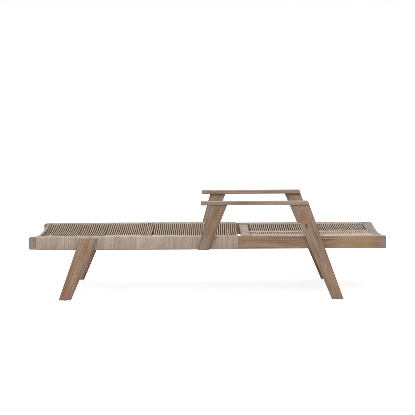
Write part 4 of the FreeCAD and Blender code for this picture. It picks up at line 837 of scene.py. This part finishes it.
class Plank:
    """One plank as the saw left it: where its faces are, how its grain lies, its marks and its wash."""

    def __init__(self, node, number, look):
        wash, tone, marks = PLANKS[node]
        low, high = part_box(node)
        sizes = [high[axis] - low[axis] for axis in range(3)]
        pairs = []
        for axis in range(3):
            inward = [0.0, 0.0, 0.0]
            inward[axis] = 1.0
            pairs.append(((tuple(inward), low[axis]), (tuple(-part for part in inward), -high[axis])))
        lengthwise = sizes.index(max(sizes))
        self.turn = (0.0, 0.0, -QUARTER if lengthwise == 1 else 0.0)
        if node.startswith(TAPERED):
            lengthwise = 2
            pairs[0], self.turn = self.tapered_edges(node, low[2], high[2])
        self.faces = [pairs[lengthwise]] + [pairs[axis] for axis in range(3) if axis != lengthwise]
        self.shift = [number * step for step in GRAIN_SHIFT]
        self.wash, self.tone = wash, tone
        is_rail = node.startswith("side_rail")
        self.front_wash = FRONT_WASHED.get(node, 0.0)
        self.end_wash = RAIL_END_WASH if is_rail else END_WASH
        self.top_painted_sheen = TOP_PAINTED_SHEEN.get(node, 0.0)
        dark_rear, rear_shade_reach = PAINTED_REAR_SHADE.get(node, (0.0, 1.0))
        self.dark_rear, self.rear_shade_reach = dark_rear, rear_shade_reach * MM
        self.wash_colour = getattr(look, PALE_WASHED.get(node, "wash"))
        self.russet = LITTLE_RUSSET if is_rail or node in PALE_WASHED else RUSSET
        self.marks = [(x * MM, z * MM, radius * MM, getattr(look, kind), *MARKS[kind])
                      for x, z, radius, kind in marks]

    def tapered_edges(self, node, bottom, top):
        """The slanted front and rear edges of a leg or post, and the turn of its grain."""
        points = [vert.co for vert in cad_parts[node].data.vertices]
        near = END_SHARE * (top - bottom)
        foot = [point.x for point in points if point.z < bottom + near]
        head = [point.x for point in points if point.z > top - near]
        edges = []
        for side, pick in ((1.0, min), (-1.0, max)):
            along = Vector((pick(head) - pick(foot), top - bottom)).normalized()
            inward = (side * along.y, 0.0, -side * along.x)
            edges.append((inward, inward[0] * pick(foot) + inward[2] * bottom))
        lean = math.atan2(top - bottom, 0.5 * (min(head) + max(head) - min(foot) - max(foot)))
        return tuple(edges), (0.0, lean, 0.0)


class LOUNGER_OT_timber(bpy.types.Operator):
    """Finish every plank and bar in grey-washed acacia, each with its own grain"""
    bl_idname = "lounger.timber"
    bl_label = "Finish the timber"

    def execute(self, context):
        look = context.scene.lounger_timber
        for number, node in enumerate(PLANKS):
            give(node, timber_finish("grey_washed_acacia_" + node, look, Plank(node, number, look)))
        pegs = dowel_finish("turned_beech", look)
        for node in ("armrest_dowels", "crossbar_dowels", "back_dowels"):
            give(node, pegs)
        return {"FINISHED"}


class LOUNGER_OT_fittings(bpy.types.Operator):
    """Finish the bolts, screws, brackets, bushes and glides"""
    bl_idname = "lounger.fittings"
    bl_label = "Finish the fittings"

    def execute(self, context):
        look = context.scene.lounger_fittings
        steel = steel_finish("brushed_stainless_steel", look)
        for node in ("leg_bolts", "leg_nuts", "rack_screws", "pivot_bolts", "batten_screws",
                     "hinge_brackets", "hinge_pins", "bracket_screws", "prop_rod"):
            give(node, steel)
        nylon = nylon_finish("moulded_nylon", look)
        for node in ("foot_glides", "pivot_bushes", "pivot_washers"):
            give(node, nylon)
        return {"FINISHED"}


# ---------------------------------------------------------------- stage

FLOOR_REACH = 30.0
# From the middle of the floor, where the camera starts to see it whiter, and sees it quite white.
FLOOR_WHITENS = (1.3, 3.0)
# Each lamp's name, power, size and place, and the point that both lamps face.
LAMPS = (("front_lamp", "key_power", (5.0, 2.5), (-0.5, -3.6, 3.0)),
         ("top_lamp", "top_power", (4.0, 3.0), (0.1, 0.3, 3.4)))
LAMP_AIM = Vector((0.0, 0.0, 0.3))


def seen_directly(tree):
    """1 for what the camera sees directly or in gloss or glass, 0 for light on the object."""
    path = put(tree, "ShaderNodeLightPath")
    seen = put(tree, "ShaderNodeMath", {
        0: path.outputs["Is Camera Ray"], 1: path.outputs["Is Glossy Ray"]}, operation="MAXIMUM")
    seen = put(tree, "ShaderNodeMath", {
        0: seen.outputs["Value"], 1: path.outputs["Is Transmission Ray"]}, operation="MAXIMUM")
    return seen.outputs["Value"]


def set_floor(scene, look):
    """Matt paper: the camera and gloss see it white, with the object's shadow on it."""
    bm = bmesh.new()
    bmesh.ops.create_grid(bm, x_segments=1, y_segments=1, size=FLOOR_REACH)
    mesh = bpy.data.meshes.new("floor")
    bm.to_mesh(mesh)
    bm.free()
    floor = bpy.data.objects.new("floor", mesh)
    scene.collection.objects.link(floor)
    finish, tree, shader = new_finish("matt_paper_floor")
    shader.inputs["Base Color"].default_value = (*look.floor, 1.0)
    shader.inputs["Roughness"].default_value = 0.9
    shader.inputs["Specular IOR Level"].default_value = 0.1
    away = put(tree, "ShaderNodeVectorMath", {
        0: put(tree, "ShaderNodeTexCoord").outputs["Object"]}, operation="LENGTH").outputs["Value"]
    white = put(tree, "ShaderNodeMapRange", {
        "Value": away, "From Min": FLOOR_WHITENS[0], "From Max": FLOOR_WHITENS[1],
        "To Min": look.floor_glow, "To Max": 1.0}).outputs["Result"]
    glow = put(tree, "ShaderNodeEmission", {
        "Strength": put(tree, "ShaderNodeMath", {
            0: seen_directly(tree), 1: white}, operation="MULTIPLY").outputs["Value"]})
    both = put(tree, "ShaderNodeAddShader", {0: shader.outputs["BSDF"], 1: glow.outputs["Emission"]})
    tree.links.new(both.outputs["Shader"], tree.nodes["Material Output"].inputs["Surface"])
    mesh.materials.append(finish)


def set_world(scene, look):
    """Even light from all round on the object, before a background that the camera sees white."""
    world = bpy.data.worlds.new("studio")
    scene.world = world
    world.use_nodes = True
    tree = world.node_tree
    level = put(tree, "ShaderNodeMix", {
        "Factor": seen_directly(tree), "A": look.world_level, "B": 1.0}, data_type="FLOAT").outputs[0]
    background = tree.nodes["Background"]
    background.inputs["Color"].default_value = (1.0, 1.0, 1.0, 1.0)
    tree.links.new(level, background.inputs["Strength"])


def set_lamps(scene, look):
    """Two wide, soft lamps that face the object."""
    for name, power, size, place in LAMPS:
        lamp = bpy.data.lights.new(name, "AREA")
        lamp.shape = "RECTANGLE"
        lamp.size, lamp.size_y = size
        lamp.energy = getattr(look, power)
        holder = bpy.data.objects.new(name, lamp)
        holder.location = place
        holder.rotation_euler = (LAMP_AIM - holder.location).to_track_quat("-Z", "Y").to_euler()
        scene.collection.objects.link(holder)


def set_camera(scene, look):
    """The camera as it stood for the photograph."""
    lens = bpy.data.cameras.new("camera")
    lens.sensor_width = SENSOR_WIDTH
    lens.lens = look.camera_focus * SENSOR_WIDTH / PHOTO_PIXELS
    camera = bpy.data.objects.new("camera", lens)
    turn = (Matrix.Rotation(-look.camera_yaw, 4, "Z")
            @ Matrix.Rotation(QUARTER - look.camera_pitch, 4, "X")
            @ Matrix.Rotation(look.camera_roll, 4, "Z"))
    camera.matrix_world = Matrix.Translation(look.camera_place) @ turn
    scene.collection.objects.link(camera)
    scene.camera = camera


class LOUNGER_OT_stage(bpy.types.Operator):
    """Set the pale floor, the soft light and the camera"""
    bl_idname = "lounger.stage"
    bl_label = "Set the stage"

    def execute(self, context):
        scene = context.scene
        look = scene.lounger_stage
        scene.view_settings.view_transform = "Standard"
        # The strands stand two pixels apart in the photograph's frame, so the filter is tight too.
        scene.cycles.filter_width = look.sharpness
        set_floor(scene, look)
        set_world(scene, look)
        set_lamps(scene, look)
        set_camera(scene, look)
        return {"FINISHED"}


# ---------------------------------------------------------------- add-on

class LOUNGER_PT_sidebar(bpy.types.Panel):
    """The lounger's steps, in the order in which they are done"""
    bl_label = "Sun lounger"
    bl_idname = "LOUNGER_PT_sidebar"
    bl_space_type = "VIEW_3D"
    bl_region_type = "UI"
    bl_category = "Lounger"

    def draw(self, context):
        for operator in OPERATORS:
            self.layout.operator(operator.bl_idname)


OPERATORS = (LOUNGER_OT_seat_cord, LOUNGER_OT_back_cord, LOUNGER_OT_timber, LOUNGER_OT_fittings,
             LOUNGER_OT_stage)
GROUPS = (("lounger_cord", LoungerCord), ("lounger_timber", LoungerTimber),
          ("lounger_fittings", LoungerFittings), ("lounger_stage", LoungerStage))


def register():
    for name, group in GROUPS:
        bpy.utils.register_class(group)
        setattr(bpy.types.Scene, name, PointerProperty(type=group))
    for operator in OPERATORS:
        bpy.utils.register_class(operator)
    bpy.utils.register_class(LOUNGER_PT_sidebar)


def unregister():
    bpy.utils.unregister_class(LOUNGER_PT_sidebar)
    for operator in reversed(OPERATORS):
        bpy.utils.unregister_class(operator)
    for name, group in reversed(GROUPS):
        delattr(bpy.types.Scene, name)
        bpy.utils.unregister_class(group)


def main():
    register()
    bpy.ops.lounger.seat_cord()
    bpy.ops.lounger.back_cord()
    bpy.ops.lounger.timber()
    bpy.ops.lounger.fittings()
    bpy.ops.lounger.stage()


if __name__ == "__main__":
    main()
